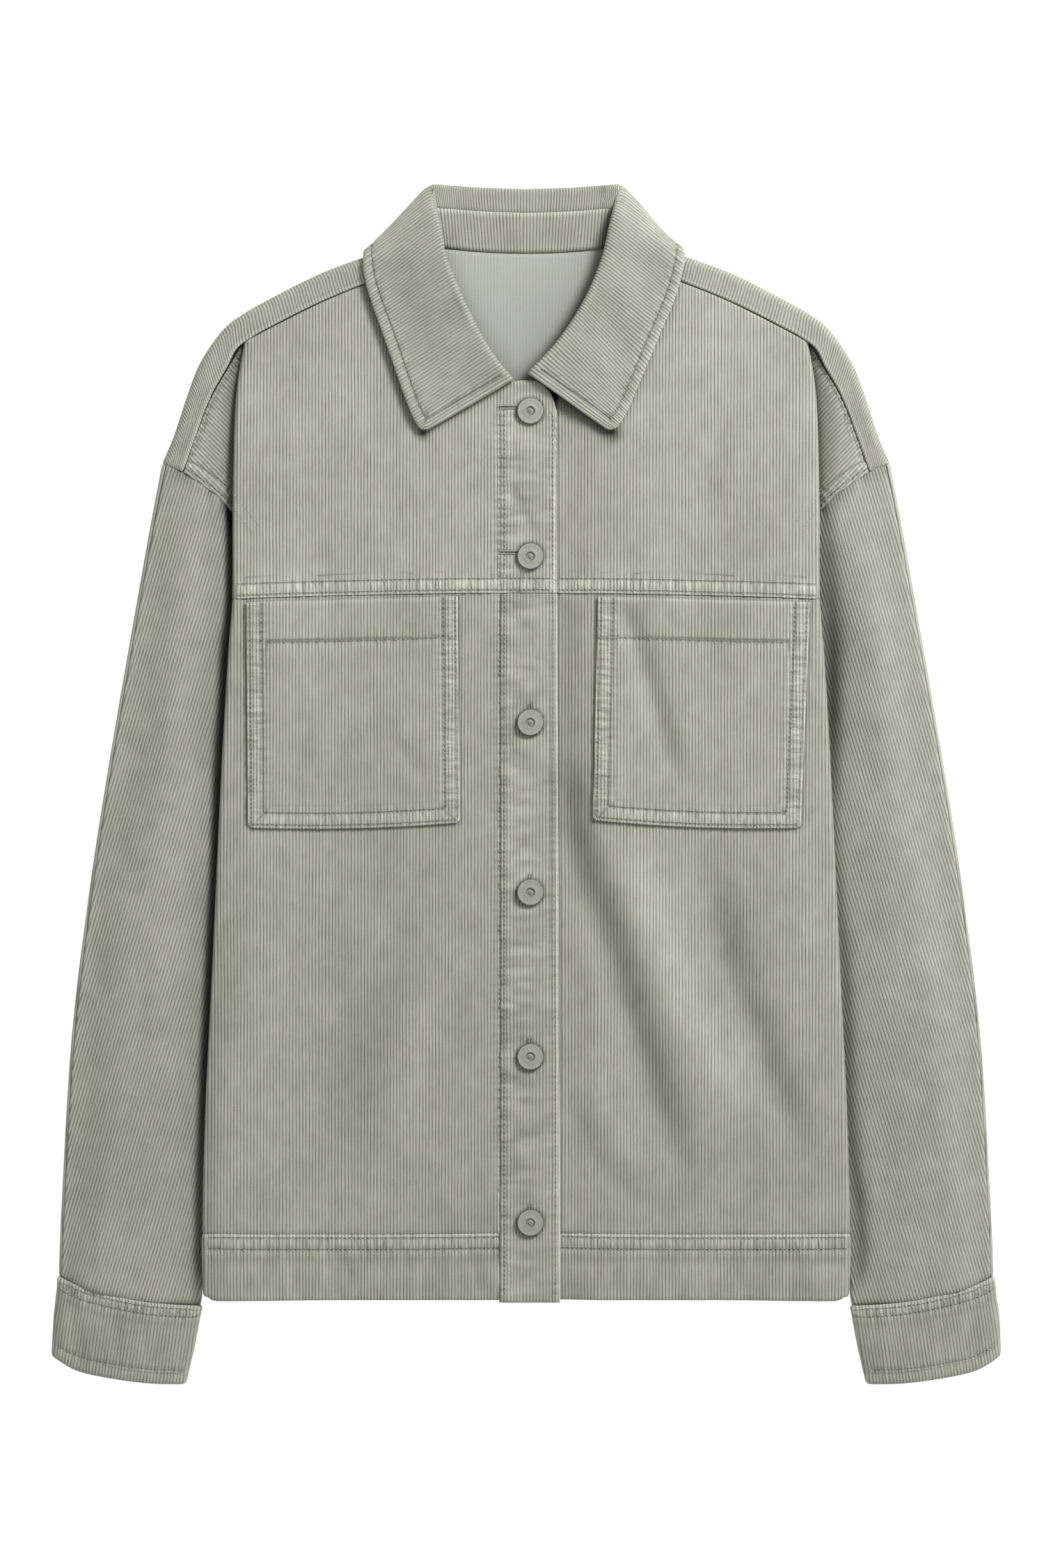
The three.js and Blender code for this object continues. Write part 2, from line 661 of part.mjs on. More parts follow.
// Ring of a flattened tube: [share across, height share] pairs, outer edge first
function tubeRing(side, plan, along, topHeight, columns) {
  const start = plan(0, along);
  const stop = plan(1, along);
  const width = Math.hypot(stop.d - start.d, stop.y - start.y);
  return columns.map(({ across, inset = 0, turn }) => {
    const point = plan(across, along);
    const top = topHeight(point.d, point.y, along, across);
    const radius = (top - FLOOR_PLY) / 2;
    const shift = (inset * radius) / width;
    const moved = plan(across === 0 ? shift : across === 1 ? 1 - shift : across, along);
    const z = mix(FLOOR_PLY, top, turn);
    return new THREE.Vector3(side * moved.d, moved.y, z);
  });
}

const cornerTurn = (across, from, to, count) =>
  shares(count, from, to).map((t) => ({
    across,
    inset: 1 - Math.sin(Math.PI * t),
    turn: (1 - Math.cos(Math.PI * t)) / 2,
  }));

const acrossTop = [0.1, 0.23, 0.4, 0.57, 0.74, 0.88].map((across) => ({ across, turn: 1 }));
const acrossFloor = [0.88, 0.5, 0.12].map((across) => ({ across, turn: 0 }));

const SLEEVE_ROWS = [0, 0.05, 0.11, 0.18, 0.28, 0.38, 0.48, 0.58, 0.68, 0.78, 0.88, 0.95, 1];

// The top sleeve ends in a seam just in from the outer edge, and at the inner edge
function topSleeve(side) {
  const columns = [...cornerTurn(0, 0.86, 1, 1), ...acrossTop, ...cornerTurn(1, 1, 0.36, 3)];
  const grid = SLEEVE_ROWS.map((along) => tubeRing(side, sleevePlan, along, sleeveTop, columns));
  return trim(grid, ["first", "last", "start", "end"]);
}

function underSleeve(side) {
  const columns = [...cornerTurn(1, 0.26, 0, 1), ...acrossFloor, ...cornerTurn(0, 0, 0.8, 4)];
  const grid = SLEEVE_ROWS.map((along) => tubeRing(side, sleevePlan, along, sleeveTop, columns));
  return trim(grid, ["first", "last", "start", "end"]);
}

// Cuff: a closed band of doubled cloth
function cuff(side) {
  const inner = (t) => ({ x: mix(CUFF_SEAM.at(-1).d, CUFF_HEM.at(-1).d, t ** 1.2), y: mix(-340, -390.4, t) });
  const outer = (t) => ({ x: mix(303.8, 308.3, t) + 0.6 * Math.sin(Math.PI * t), y: mix(-321, -372.5, t) });
  const plan = patch(curve(CUFF_SEAM), curve(CUFF_HEM), outer, inner);
  const height = (d, y, along, share) =>
    FRONT_REST + 3.6 * Math.sin(Math.PI * share) ** 0.8 - 0.9 * smooth(0, 1, along) + 0.4;
  const columns = [
    ...cornerTurn(0, 0.1, 0.9, 4),
    ...acrossTop,
    ...cornerTurn(1, 0.9, 0.1, 4),
    ...acrossFloor,
  ];
  const grid = shares(5).map((along) =>
    tubeRing(side, plan, along, height, columns).map((p) => {
      p.z += (DOUBLE_PLY - PLY) / 2;
      return p;
    }),
  );
  return cloth(trim(grid, ["first"]), DOUBLE_PLY, true);
}

// Collar: rings from the centre back round to each point, closest together at the side of the neck
const COLLAR_RINGS = [0, 0.8, 1.6, 2.2, 2.7, 3.1, 3.6, 4.1, 4.6, 5.1, 5.8, 6.8, 8, 9.2, 10.4, 11.3, 12];
const STAND_END = 3.2;
const NECK_INSET = 2.2;
const NECK_LINES = { "-1": curve(NECKLINE_LEFT.slice(4)), 1: curve(NECKLINE_RIGHT.slice(3)) };

function collarRows(side, table) {
  return COLLAR_RINGS.map((at) => {
    const numbered = table.map((row, index) => ({ index, ...row }));
    const turn = COLLAR_TURN.map((row, index) => ({ index, ...row }));
    const read = (column) => lookup(numbered, "index", column, at);
    const turnRead = (column) => lookup(turn, "index", column, Math.min(at, turn.length - 1));
    const roll = new THREE.Vector3(side * read("rollD"), read("rollY"), 0);
    const edge = new THREE.Vector3(side * read("edgeD"), read("edgeY"), 0);
    const front = smooth(5, 7, at);
    const fall = edge.clone().sub(roll);
    fall.z = 0;
    fall.normalize();
    roll.z = mix(turnRead("rollZ"), frontHeight(roll.x, roll.y) + 3.2, front);
    edge.z = mix(turnRead("edgeZ"), frontHeight(edge.x, edge.y) + LEAF_OVER_FRONT, front);
    const lean = THREE.MathUtils.degToRad(mix(turnRead("lean"), -90, front));
    const inward = new THREE.Vector3(side * fall.y, -side * fall.x, 0);
    const inner = inward.multiplyScalar(Math.cos(lean)).add(new THREE.Vector3(0, 0, Math.sin(lean)));
    const neck = new THREE.Vector3(side * turnRead("neckD"), turnRead("neckY"), 0);
    neck.z = mix(backHeight(0, neck.y), 7.5, smooth(2.6, 4.6, at));
    return { at, roll, edge, fall, inner, front, neck, neckline: necklinePoint(side, at, fall) };
  });
}

// Where the under side of the collar meets the neckline of each front
function necklinePoint(side, at, fall) {
  const first = 6;
  const share = (at - first) / (COLLAR_LEFT.length - 1 - first);
  const line = NECK_LINES[side](1 - share);
  const point = new THREE.Vector3(side * line.x, line.y, 0).addScaledVector(fall, -NECK_INSET);
  return point.setZ(frontHeight(point.x, point.y));
}

// Inner end of the leaf: the seam on the stand behind the neck, the neckline in front
function leafSeam({ at, roll, inner, neck, neckline }) {
  const down = neck.clone().sub(roll).setZ(0).normalize();
  const length = mix(12.5, 1.5, smooth(2.6, 4.4, at));
  const seam = roll.clone().addScaledVector(down, length).addScaledVector(inner, COLLAR_ROLL);
  return seam.lerp(neckline, smooth(5.6, 7.4, at));
}

function leafRing(ring) {
  const { roll, edge, fall, inner, front } = ring;
  const around = shares(4).map((t) => {
    const angle = Math.PI * t;
    return roll
      .clone()
      .addScaledVector(inner, COLLAR_ROLL * Math.cos(angle))
      .addScaledVector(fall, -COLLAR_ROLL * Math.sin(angle));
  });
  const last = around[around.length - 1];
  const outer = [0.2, 0.46, 0.73, 1].map((t) => {
    const p = last.clone().lerp(edge, t);
    p.z += front * 1.6 * Math.sin(Math.PI * t) * (1 - t);
    return p;
  });
  return [leafSeam(ring), ...around, ...outer];
}

const leftRings = collarRows(-1, COLLAR_LEFT);
const rightRings = collarRows(1, COLLAR_RIGHT);

function collarLeaf() {
  const grid = [...leftRings.slice(1).reverse().map(leafRing), ...rightRings.map(leafRing)];
  return trim(grid, ["start"], 0.7);
}

// Stand: behind the neck, from the neckline up to the seam under the collar's roll
const standRing = (ring) => shares(2).map((t) => ring.neck.clone().lerp(leafSeam(ring), t));

function collarStand() {
  const behind = (rings) => rings.filter((ring) => ring.at <= STAND_END);
  const grid = [...behind(leftRings).slice(1).reverse(), ...behind(rightRings)].map(standRing);
  return trim(trim(grid, ["start", "first", "last"], 1), ["end"], 3.2);
}

// Button: a turned disc with a raised rim, a sunk middle and a small stud
function button(y) {
  const profile = [
    [0, 0],
    [6.5, 0],
    [BUTTON_RADIUS, 1.4],
    [BUTTON_RADIUS - 0.6, 2.2],
    [3.4, 2.6],
    [2.6, 1.5],
    [1.5, 1.5],
    [1.2, 2.1],
    [0, 2.2],
  ].map(([radius, z]) => new THREE.Vector2(radius, z));
  const geometry = new THREE.LatheGeometry(profile, 14);
  geometry.rotateX(Math.PI / 2);
  const z = frontHeight(BUTTON_X, y) + DOUBLE_PLY / 2 + SEAM_GAP + 0.1;
  geometry.translate(BUTTON_X, y, z);
  geometry.deleteAttribute("normal");
  geometry.deleteAttribute("uv");
  return geometry;
}

// Cloth is doubled along the placket, where the edge is turned in
const placketDouble = (grid) => (i, j) => (grid[i][j].x > PLACKET_STITCH && grid[i][j].z > 5 ? DOUBLE_PLY : PLY);

const left = backPanel(-1);
const right = backPanel(1);
place("back_panel", join(cloth(mirrorGrid(right.flat)), cloth(left.strip), cloth(right.strip)));

const yokeLeft = yoke(-1, NECKLINE_LEFT, -PLACKET_EDGE.top, noDrop);
const yokeRight = yoke(1, NECKLINE_RIGHT, UNDERLAP_EDGE, underlapDrop);
place("front_yoke_left", join(cloth(yokeLeft, placketDouble(yokeLeft)), cloth(dropShoulder(-1))));
place("front_yoke_right", join(cloth(yokeRight), cloth(dropShoulder(1))));

const lowerLeft = lowerFront(-1, placketEdge, noDrop);
const lowerRight = lowerFront(1, () => UNDERLAP_EDGE, underlapDrop);
place("lower_front_left", join(cloth(lowerLeft, placketDouble(lowerLeft)), placketFoot()));
place("lower_front_right", cloth(lowerRight));

place("hem_band_left", cloth(bandFront(-1, -PLACKET_STITCH, noDrop), DOUBLE_PLY));
place("hem_band_right", cloth(bandFront(1, UNDERLAP_EDGE, bandDrop), DOUBLE_PLY));
place("hem_band_back", cloth(bandBack(), DOUBLE_PLY));

for (const [name, side] of Object.entries({ left: -1, right: 1 })) {
  place(`pocket_${name}`, cloth(pocket(side, POCKETS[name])));
  place(`top_sleeve_${name}`, cloth(topSleeve(side)));
  place(`under_sleeve_${name}`, cloth(underSleeve(side)));
  place(`cuff_${name}`, cuff(side), COLOURS.cuff);
}

place("collar_stand", cloth(collarStand(), DOUBLE_PLY));
place("collar_leaf", cloth(collarLeaf(), DOUBLE_PLY - 0.2));

BUTTON_Y.forEach((y, i) => place(`button_${i + 1}`, button(y), COLOURS.button, 0.45, 0.3));

export default jacket;
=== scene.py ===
"""A sage corduroy overshirt jacket, lying flat on its back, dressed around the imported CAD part.

Shapes are worked out in millimetres and made in metres. +X is the viewer's right, +Y is toward the
collar and +Z is up from the surface. d is a distance from the centre line, the same on both sides.
"""

import math

import bpy
import numpy as np
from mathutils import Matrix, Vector
from mathutils.bvhtree import BVHTree


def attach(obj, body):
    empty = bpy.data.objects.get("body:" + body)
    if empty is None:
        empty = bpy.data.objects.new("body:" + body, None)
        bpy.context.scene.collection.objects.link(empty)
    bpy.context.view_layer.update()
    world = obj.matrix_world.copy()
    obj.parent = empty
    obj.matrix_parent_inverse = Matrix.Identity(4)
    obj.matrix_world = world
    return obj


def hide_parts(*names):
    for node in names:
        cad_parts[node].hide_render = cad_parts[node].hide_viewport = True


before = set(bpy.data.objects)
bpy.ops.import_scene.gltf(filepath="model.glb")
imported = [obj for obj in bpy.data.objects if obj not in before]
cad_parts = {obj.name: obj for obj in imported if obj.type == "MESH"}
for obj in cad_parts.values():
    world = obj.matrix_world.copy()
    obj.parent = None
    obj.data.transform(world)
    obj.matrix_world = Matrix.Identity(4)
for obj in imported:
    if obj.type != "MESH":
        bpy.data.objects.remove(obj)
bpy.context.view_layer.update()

MM = 0.001

# Cloth
PLY = 1.6
DOUBLE_PLY = 2.6
SEAM_GAP = 0.3
FLOOR_PLY = PLY / 2
FINE = 2.0
WALE = 2.11

# How high the layers lie, measured to the middle of the cloth
FRONT_REST = 7.4
SIDE_RISE = 5.6
SHOULDER_RISE = 2.2
UNDERLAP_DROP = 2.7
FOLD_RADIUS = 2.5
HIDDEN_SHOULDER = 4.6
SLEEVE_HIDDEN = 5.2
SLEEVE_CROWN = 6.5
BACK_NECK_LIFT = 3.1
LEAF_OVER_FRONT = 2.45
COLLAR_ROLL = 2.4
NECK_INSET = 2.2
POCKET_LIFT = 2.1
POCKET_BOW = 2.0

# Placket and hem
BUTTON_RADIUS = 8.75
BUTTON_X = 2.7
BUTTON_Y = [242.2, 147.9, 39.8, -70.6, -177.5, -285.4]
PLACKET_TOP = 19.4
PLACKET_FOOT = 21.6
FACING_STITCH = -17.3
UNDERLAP_EDGE = -19.0
HEM = -335.6
PLACKET_HEM = -337.2

BODY_FOLD = {
    "y": [286, 262, 238, 175, 120, 84, 10, -125, -216, -300, -338],
    "d": [183, 187, 188.8, 190, 190.3, 193, 197.3, 203.6, 208, 209.8, 208.6],
}
SIDE_SEAM = {
    "y": [122, 80, -60, -160, -260, -338],
    "d": [148, 150.5, 164, 180, 196, 200],
}
SLEEVE_INNER = {
    "d": [154, 155, 168, 184, 200, 204.5, 211, 212.6],
    "y": [122, 80, -60, -160, -255, -293, -325, -340],
}
SLEEVE_OUTER = {
    "d": [236.4, 247.7, 271.4, 285.5, 295.9, 302.3, 303.8],
    "y": [208, 148, 11.6, -81, -170, -279, -321],
}
CUFF_SEAM = {
    "d": [303.8, 288, 267.7, 243, 212.6],
    "y": [-321, -328, -333.2, -337.6, -340],
}
CUFF_HEM = {
    "d": [308.3, 292, 267.7, 243, 222.7],
    "y": [-372.5, -381.3, -386.4, -389.6, -390.4],
}
SHOULDER_FOLD = {
    "d": [66, 88, 104, 131.8, 160.7, 186.4, 199.1, 211.8, 219.5, 229, 236.4],
    "y": [348.5, 345.5, 342.4, 332.5, 318.4, 303.9, 292.7, 273.6, 254.3, 225.7, 208.4],
}
FRONT_SHOULDER_SEAM = {
    "d": [64.5, 103, 131.8, 160.7, 181],
    "y": [339.5, 325.2, 313.4, 299.1, 288.5],
}
DROP_SHOULDER_SEAM = {
    "d": [186, 194.1, 205.5, 215, 223],
    "y": [284.5, 270.4, 249.8, 225.7, 202.5],
}
ARMHOLE = {
    "d": [236.4, 223, 203.6, 190, 171, 154],
    "y": [208.2, 202.5, 189, 175, 150, 122],
}
NECKLINE = {
    -1: {
        "d": [-19.4, -17, -10, 0, 19, 30, 44.5, 56.3, 62.5, 64.5],
        "y": [243, 252, 260, 262, 261, 271.5, 287.7, 310.5, 328, 339.5],
        "under_collar": 4,
    },
    1: {
        "d": [-17, -13, -4, 11.5, 27, 43, 55.5, 62.5, 64.5],
        "y": [236, 249, 256, 263.5, 275, 291, 312, 329, 339.5],
        "under_collar": 3,
    },
}

# Collar, from the centre back to each point: where it rolls over and where its leaf ends
COLLAR = {
    -1: {
        "roll_d": [0, 30, 50, 61.5, 62.5, 61.6, 60.3, 58, 54.5, 45.5, 34.5, 23, 11],
        "roll_y": [384, 385, 386.5, 387, 382, 375, 368.5, 358, 340, 317.5, 294.5, 275.5, 260.8],
        "edge_d": [0, 36, 74, 98, 105, 105.4, 105.5, 103.7, 98.7, 91.5, 83, 74.5, 67.2],
        "edge_y": [338, 338.5, 341.5, 348.5, 347, 344.4, 338, 324.3, 308.4, 288.9, 263.9, 241, 227.8],
    },
    1: {
        "roll_d": [0, 30, 50, 61, 61.5, 60.4, 59, 56.5, 52.5, 45, 35, 20.5, 3.8],
        "roll_y": [384, 385, 386.5, 387, 382, 376, 370, 360, 342, 322, 303, 282.5, 265],
        "edge_d": [0, 36, 74, 96, 102.5, 102.8, 102.3, 99.5, 94, 85.5, 74, 64.5, 56.2],
        "edge_y": [338, 338.5, 341.5, 348.5, 347.4, 345, 338.5, 325, 309, 289.5, 262, 240.5, 228],
    },
}
COLLAR_RING = list(range(13))
COLLAR_TURN = {
    "ring": list(range(7)),
    "roll_z": [4.6, 4.6, 5, 6.6, 8.4, 10, 11.6],
    "edge_z": [1.35, 1.35, 1.35, 2.6, 5.6, 10.2, 12.4],
    "neck_d": [0, 27, 47, 54, 54.2, 54.4, 54.6],
    "neck_y": [345, 346, 348, 348.5, 345.5, 342, 338],
    "lean": [90, 90, 85, 45, 10, -25, -60],
}
STAND_END = 3.2

POCKETS = {
    -1: {"top": [(44.8, 121.6), (181.4, 117.6)], "hem": [(43.4, -25.2), (180.2, -28.4)]},
    1: {"top": [(47, 121.6), (184, 117.6)], "hem": [(43.6, -23.6), (177.8, -28.6)]},
}

SLEEVE_GRAIN = 17.0
ROW_GAP = 7.5
ROW_WIDTH = 0.075

# The shadow on the right sleeve beside the body: how far from the body its middle lies
FOLD_SHADOW = {
    "y": [-335, -284, -216, -125, -34, 57, 125, 175],
    "middle": [9, 9, 3, 5, 0, 6, 9, 5],
    "width": [5, 5, 6, 5, 6, 7, 8, 5],
    "depth": [0.3, 0.46, 0.46, 0.44, 0.34, 0.66, 0.5, 0.2],
}

# Soft troughs of the fronts, or ridges where depth is negative, each along a line of points
CREASES = [
    {
        "path": [(22, 24), (25, -25), (40, -70), (56, -116), (70, -161), (84, -207), (98, -243), (110, -274)],
        "width": 12, "depth": 3.3, "start": 0.12,
    },
    {"path": [(48, -20), (68, -70), (89, -125), (116, -179), (139, -234)], "width": 17, "depth": -2.3},
    {
        "path": [(108, -25), (121, -70), (130, -116), (144, -152), (158, -188), (176, -234), (190, -261)],
        "width": 12, "depth": 2.2,
    },
    {"path": [(40, -190), (56, -232), (78, -258)], "width": 9, "depth": -0.6},
    {"path": [(26, -200), (40, -238), (60, -262), (74, -280)], "width": 8, "depth": 0.8},
    {"path": [(21, 124), (21, 60), (22, 10), (24, -30)], "width": 8, "depth": 1.3, "start": 0.05},
    {"path": [(60, 122), (76, 76), (88, 32), (102, -4)], "width": 7, "depth": 1.9, "start": 0.12},
    {"path": [(-90, 34), (-76, 16), (-63, 0)], "width": 5, "depth": 0.9},
    {"path": [(-14, 196), (-1, 176), (7, 159)], "width": 5, "depth": 1.2},
    {"path": [(-78, -80), (-88, -130), (-104, -190), (-118, -250)], "width": 20, "depth": 1.2},
    {"path": [(-60, -100), (-72, -170), (-86, -250)], "width": 14, "depth": -0.7},
    {"path": [(-42, -282), (-18, -288)], "width": 4, "depth": 0.5},
    {"path": [(-150, 60), (-146, 10), (-152, -20)], "width": 11, "depth": 0.7},
    {"path": [(140, 250), (120, 210), (112, 160)], "width": 12, "depth": 0.8},
    {"path": [(-120, 240), (-132, 200), (-134, 150)], "width": 12, "depth": 0.7},
]

# Pile and thread colours, as the cloth has them in plain daylight; the groove colour is painted shade
SAGE_PILE = (0.372, 0.380, 0.314, 1.0)
PAINTED_GROOVE_SHADE = (0.128, 0.132, 0.102, 1.0)
REVERSE_CLOTH = (0.345, 0.352, 0.305, 1.0)
THREAD = (0.33, 0.34, 0.28, 1.0)
BUTTON_PAINT = (0.298, 0.304, 0.254, 1.0)


def mix(a, b, t):
    return a + (b - a) * t


def smooth(start, stop, value):
    """Rises from 0 to 1, with level ends, as value goes from start to stop."""
    t = np.clip((np.asarray(value, float) - start) / (stop - start), 0, 1)
    return t * t * (3 - 2 * t)


def lookup(keys, values, at):
    """A smooth value between the rows of a table, for a key that only rises or only falls."""
    keys = np.array(keys, float)
    values = np.array(values, float)
    if keys[0] > keys[-1]:
        keys = keys[::-1]
        values = values[::-1]
    last = len(keys) - 1
    low = np.maximum(np.arange(last + 1) - 1, 0)
    high = np.minimum(np.arange(last + 1) + 1, last)
    slope = (values[high] - values[low]) / (keys[high] - keys[low])
    at = np.asarray(at, float)
    k = np.clip(np.searchsorted(keys, at), 1, last)
    h = keys[k] - keys[k - 1]
    t = np.clip((at - keys[k - 1]) / h, 0, 1)
    start = (1 + 2 * t) * (1 - t) ** 2 * values[k - 1] + t * (1 - t) ** 2 * h * slope[k - 1]
    return start + t * t * (3 - 2 * t) * values[k] + t * t * (t - 1) * h * slope[k]


def pair(d, y):
    return np.stack(np.broadcast_arrays(np.asarray(d, float), np.asarray(y, float)), -1)


class Line:
    """A smooth line through points, read by the share of its length."""

    def __init__(self, points):
        self.points = np.array(points, float)
        self.steps = np.linspace(0, 1, 201)
        path = self.at_step(self.steps)
        self.lengths = np.r_[0, np.cumsum(np.linalg.norm(np.diff(path, axis=0), axis=1))]

    def at_step(self, t):
        last = len(self.points) - 1
        p = np.clip(t, 0, 1) * last
        k = np.minimum(np.floor(p).astype(int), last)
        w = (p - k)[..., None]
        before, start, stop, after = (self.points[np.clip(k + i, 0, last)] for i in (-1, 0, 1, 2))
        leave = (stop - before) / 2
        arrive = (after - start) / 2
        bend = 2 * start - 2 * stop + leave + arrive
        return bend * w**3 + (3 * stop - 3 * start - 2 * leave - arrive) * w**2 + leave * w + start

    def __call__(self, share):
        share = np.clip(np.asarray(share, float), 0, 1)
        return self.at_step(np.interp(share * self.lengths[-1], self.lengths, self.steps))


def line_of(table, start=0):
    return Line(pair(table["d"], table["y"])[start:])


def reversed_line(table, start=0):
    return Line(pair(table["d"], table["y"])[start:][::-1])


def patch(bottom, top, inner, outer):
    """A four-sided patch between four lines that meet at its corners."""

    def at(u, v):
        u, v = np.broadcast_arrays(np.asarray(u, float), np.asarray(v, float))
        a = u[..., None]
        b = v[..., None]
        sides = (1 - b) * bottom(u) + b * top(u) + (1 - a) * inner(v) + a * outer(v)
        low = (1 - a) * bottom(np.array(0.0)) + a * bottom(np.array(1.0))
        high = (1 - a) * top(np.array(0.0)) + a * top(np.array(1.0))
        return sides - (1 - b) * low - b * high

    return at


def soft_noise(x, y, size, seed):
    """Smooth noise from -1 to 1, with bumps about size millimetres across."""
    lattice = np.random.default_rng(seed).uniform(-1, 1, (64, 64))
    gx = np.asarray(x, float) / size
    gy = np.asarray(y, float) / size
    i = np.floor(gx).astype(int)
    j = np.floor(gy).astype(int)
    a = smooth(0, 1, gx - i)
    b = smooth(0, 1, gy - j)
    corner = lambda p, q: lattice[(i + p) % 64, (j + q) % 64]
    return mix(mix(corner(0, 0), corner(1, 0), a), mix(corner(0, 1), corner(1, 1), a), b)


def nearest(x, y, path):
    """How far each point is from a path, and how far along the path that is."""
    best = np.full(np.shape(x), np.inf)
    along = np.zeros(np.shape(x))
    done = 0.0
    for (x1, y1), (x2, y2) in zip(path[:-1], path[1:]):
        length = math.hypot(x2 - x1, y2 - y1) or 1e-9
        t = np.clip(((x - x1) * (x2 - x1) + (y - y1) * (y2 - y1)) / length**2, 0, 1)
        away = np.hypot(x - mix(x1, x2, t), y - mix(y1, y2, t))
        closer = away < best
        best = np.where(closer, away, best)
        along = np.where(closer, done + t * length, along)
        done += length
    return best, along, done


def fold_at(y):
    return lookup(BODY_FOLD["y"], BODY_FOLD["d"], y)


def side_seam(y):
    return lookup(SIDE_SEAM["y"], SIDE_SEAM["d"], y)


def yoke_seam(d):
    return 124.2 - 2.6 * (d / 100) ** 2 * 0.45


def band_seam(d):
    return -292.6 - 1.2 * np.sin(math.pi * d / 210)


def placket_edge(y):
    return mix(PLACKET_TOP, PLACKET_FOOT, smooth(240, HEM, y))


def crease_at(x, y):
    total = np.zeros(np.shape(x))
    for crease in CREASES:
        line = Line(crease["path"])(np.linspace(0, 1, 14))
        away, along, length = nearest(x, y, line)
        start = length * crease.get("start", 0.3)
        ends = smooth(0, start, along) * (1 - smooth(length * 0.72, length, along))
        total -= crease["depth"] * ends * np.exp(-((away / crease["width"]) ** 2))
    return total


def fold_tone(grid, tone, shown=1.0):
    """Painted shade on the fronts: paler where a fold stands up and darker where it sinks."""
    x, y = grid[..., 0], grid[..., 1]
    broad = 0.045 * soft_noise(x * 1.4, y * 0.7, 34, 17) + 0.025 * soft_noise(x * 1.5, y * 0.7, 13, 18)
    flank = 8 * smooth(19, 22, x)
    # Painted shade: darker in crease troughs, paler on ridges; set 8 mm further right on the right front
    sunk = np.clip(0.10 * crease_at(x - flank, y), -0.32, 0.2)
    # Left front: painted shadow beside the sleeve, stronger lower down, and a painted dark rim at its fold
    into_fold = np.where(x < 0, fold_at(np.clip(y, -335, 284)) + x, 99.0)
    painted_shadow_beside_sleeve = 0.26 * np.exp(-((into_fold / 8) ** 2)) * smooth(0, -240, y)
    rim = 0.72 * (1 - smooth(0.6, 2.6, into_fold))
    return tone * (1 + (sunk + broad - np.maximum(rim, painted_shadow_beside_sleeve)) * shown)


def front_height(x, y):
    """Height of the middle of the front's cloth."""
    d = np.abs(x)
    fold = fold_at(y)
    side = SIDE_RISE * smooth(fold - 85, fold - 14, d) * (1 - smooth(190, 284, y))
    hem = 1 - 0.1 * smooth(-250, -330, y)
    lie = 0.35 * soft_noise(x, y, 46, 3) * (1 - smooth(170, 190, d))
    return FRONT_REST + side * hem + SHOULDER_RISE * smooth(150, 300, y) + crease_at(x, y) + lie


def drop_height(d, y):
    return mix(HIDDEN_SHOULDER, FRONT_REST + SHOULDER_RISE, smooth(-4, 16, d - fold_at(y)))


def back_height(d, y):
    return FLOOR_PLY + BACK_NECK_LIFT * smooth(280, 336, y) * (1 - smooth(94, 125, d))


def underlap_drop(x):
    return UNDERLAP_DROP * (1 - smooth(24, 48, x))


def no_drop(x):
    return 0.0 * x


def unit(v):
    return v / np.maximum(np.linalg.norm(v, axis=-1, keepdims=True), 1e-9)


def trim(grid, sides, by=SEAM_GAP / 2 + 0.02):
    """Moves the border points of a grid inward, so that neighbours stay a seam's gap apart."""
    if "first" in sides:
        grid[0] += unit(grid[1] - grid[0]) * by
    if "last" in sides:
        grid[-1] += unit(grid[-2] - grid[-1]) * by
    if "start" in sides:
        grid[:, 0] += unit(grid[:, 1] - grid[:, 0]) * by
    if "end" in sides:
        grid[:, -1] += unit(grid[:, -2] - grid[:, -1]) * by
    return grid


def outward(grid, ring, seen, up):
    """Normals of a grid, pointing out of the garment: up (or down) at the point that is named."""
    if ring:
        across = np.roll(grid, -1, 1) - np.roll(grid, 1, 1)
    else:
        across = np.gradient(grid, axis=1)
    along = np.gradient(grid, axis=0)
    normal = unit(np.cross(across, along))
    return normal if normal[seen][2] * up > 0 else -normal


def near_edge(grid, side, reach):
    border = {"first": grid[:1], "last": grid[-1:], "start": grid[:, :1], "end": grid[:, -1:]}[side]
    return np.exp(-((np.linalg.norm(grid - border, axis=-1) / reach) ** 2))


def run_along(grid, axis):
    """How far along a row (axis 1) or a column (axis 0) each point of a grid lies."""
    steps = np.linalg.norm(np.diff(grid, axis=axis), axis=-1)
    start = np.zeros_like(steps[:, :1] if axis == 1 else steps[:1])
    return np.concatenate([start, np.cumsum(steps, axis=axis)], axis=axis)


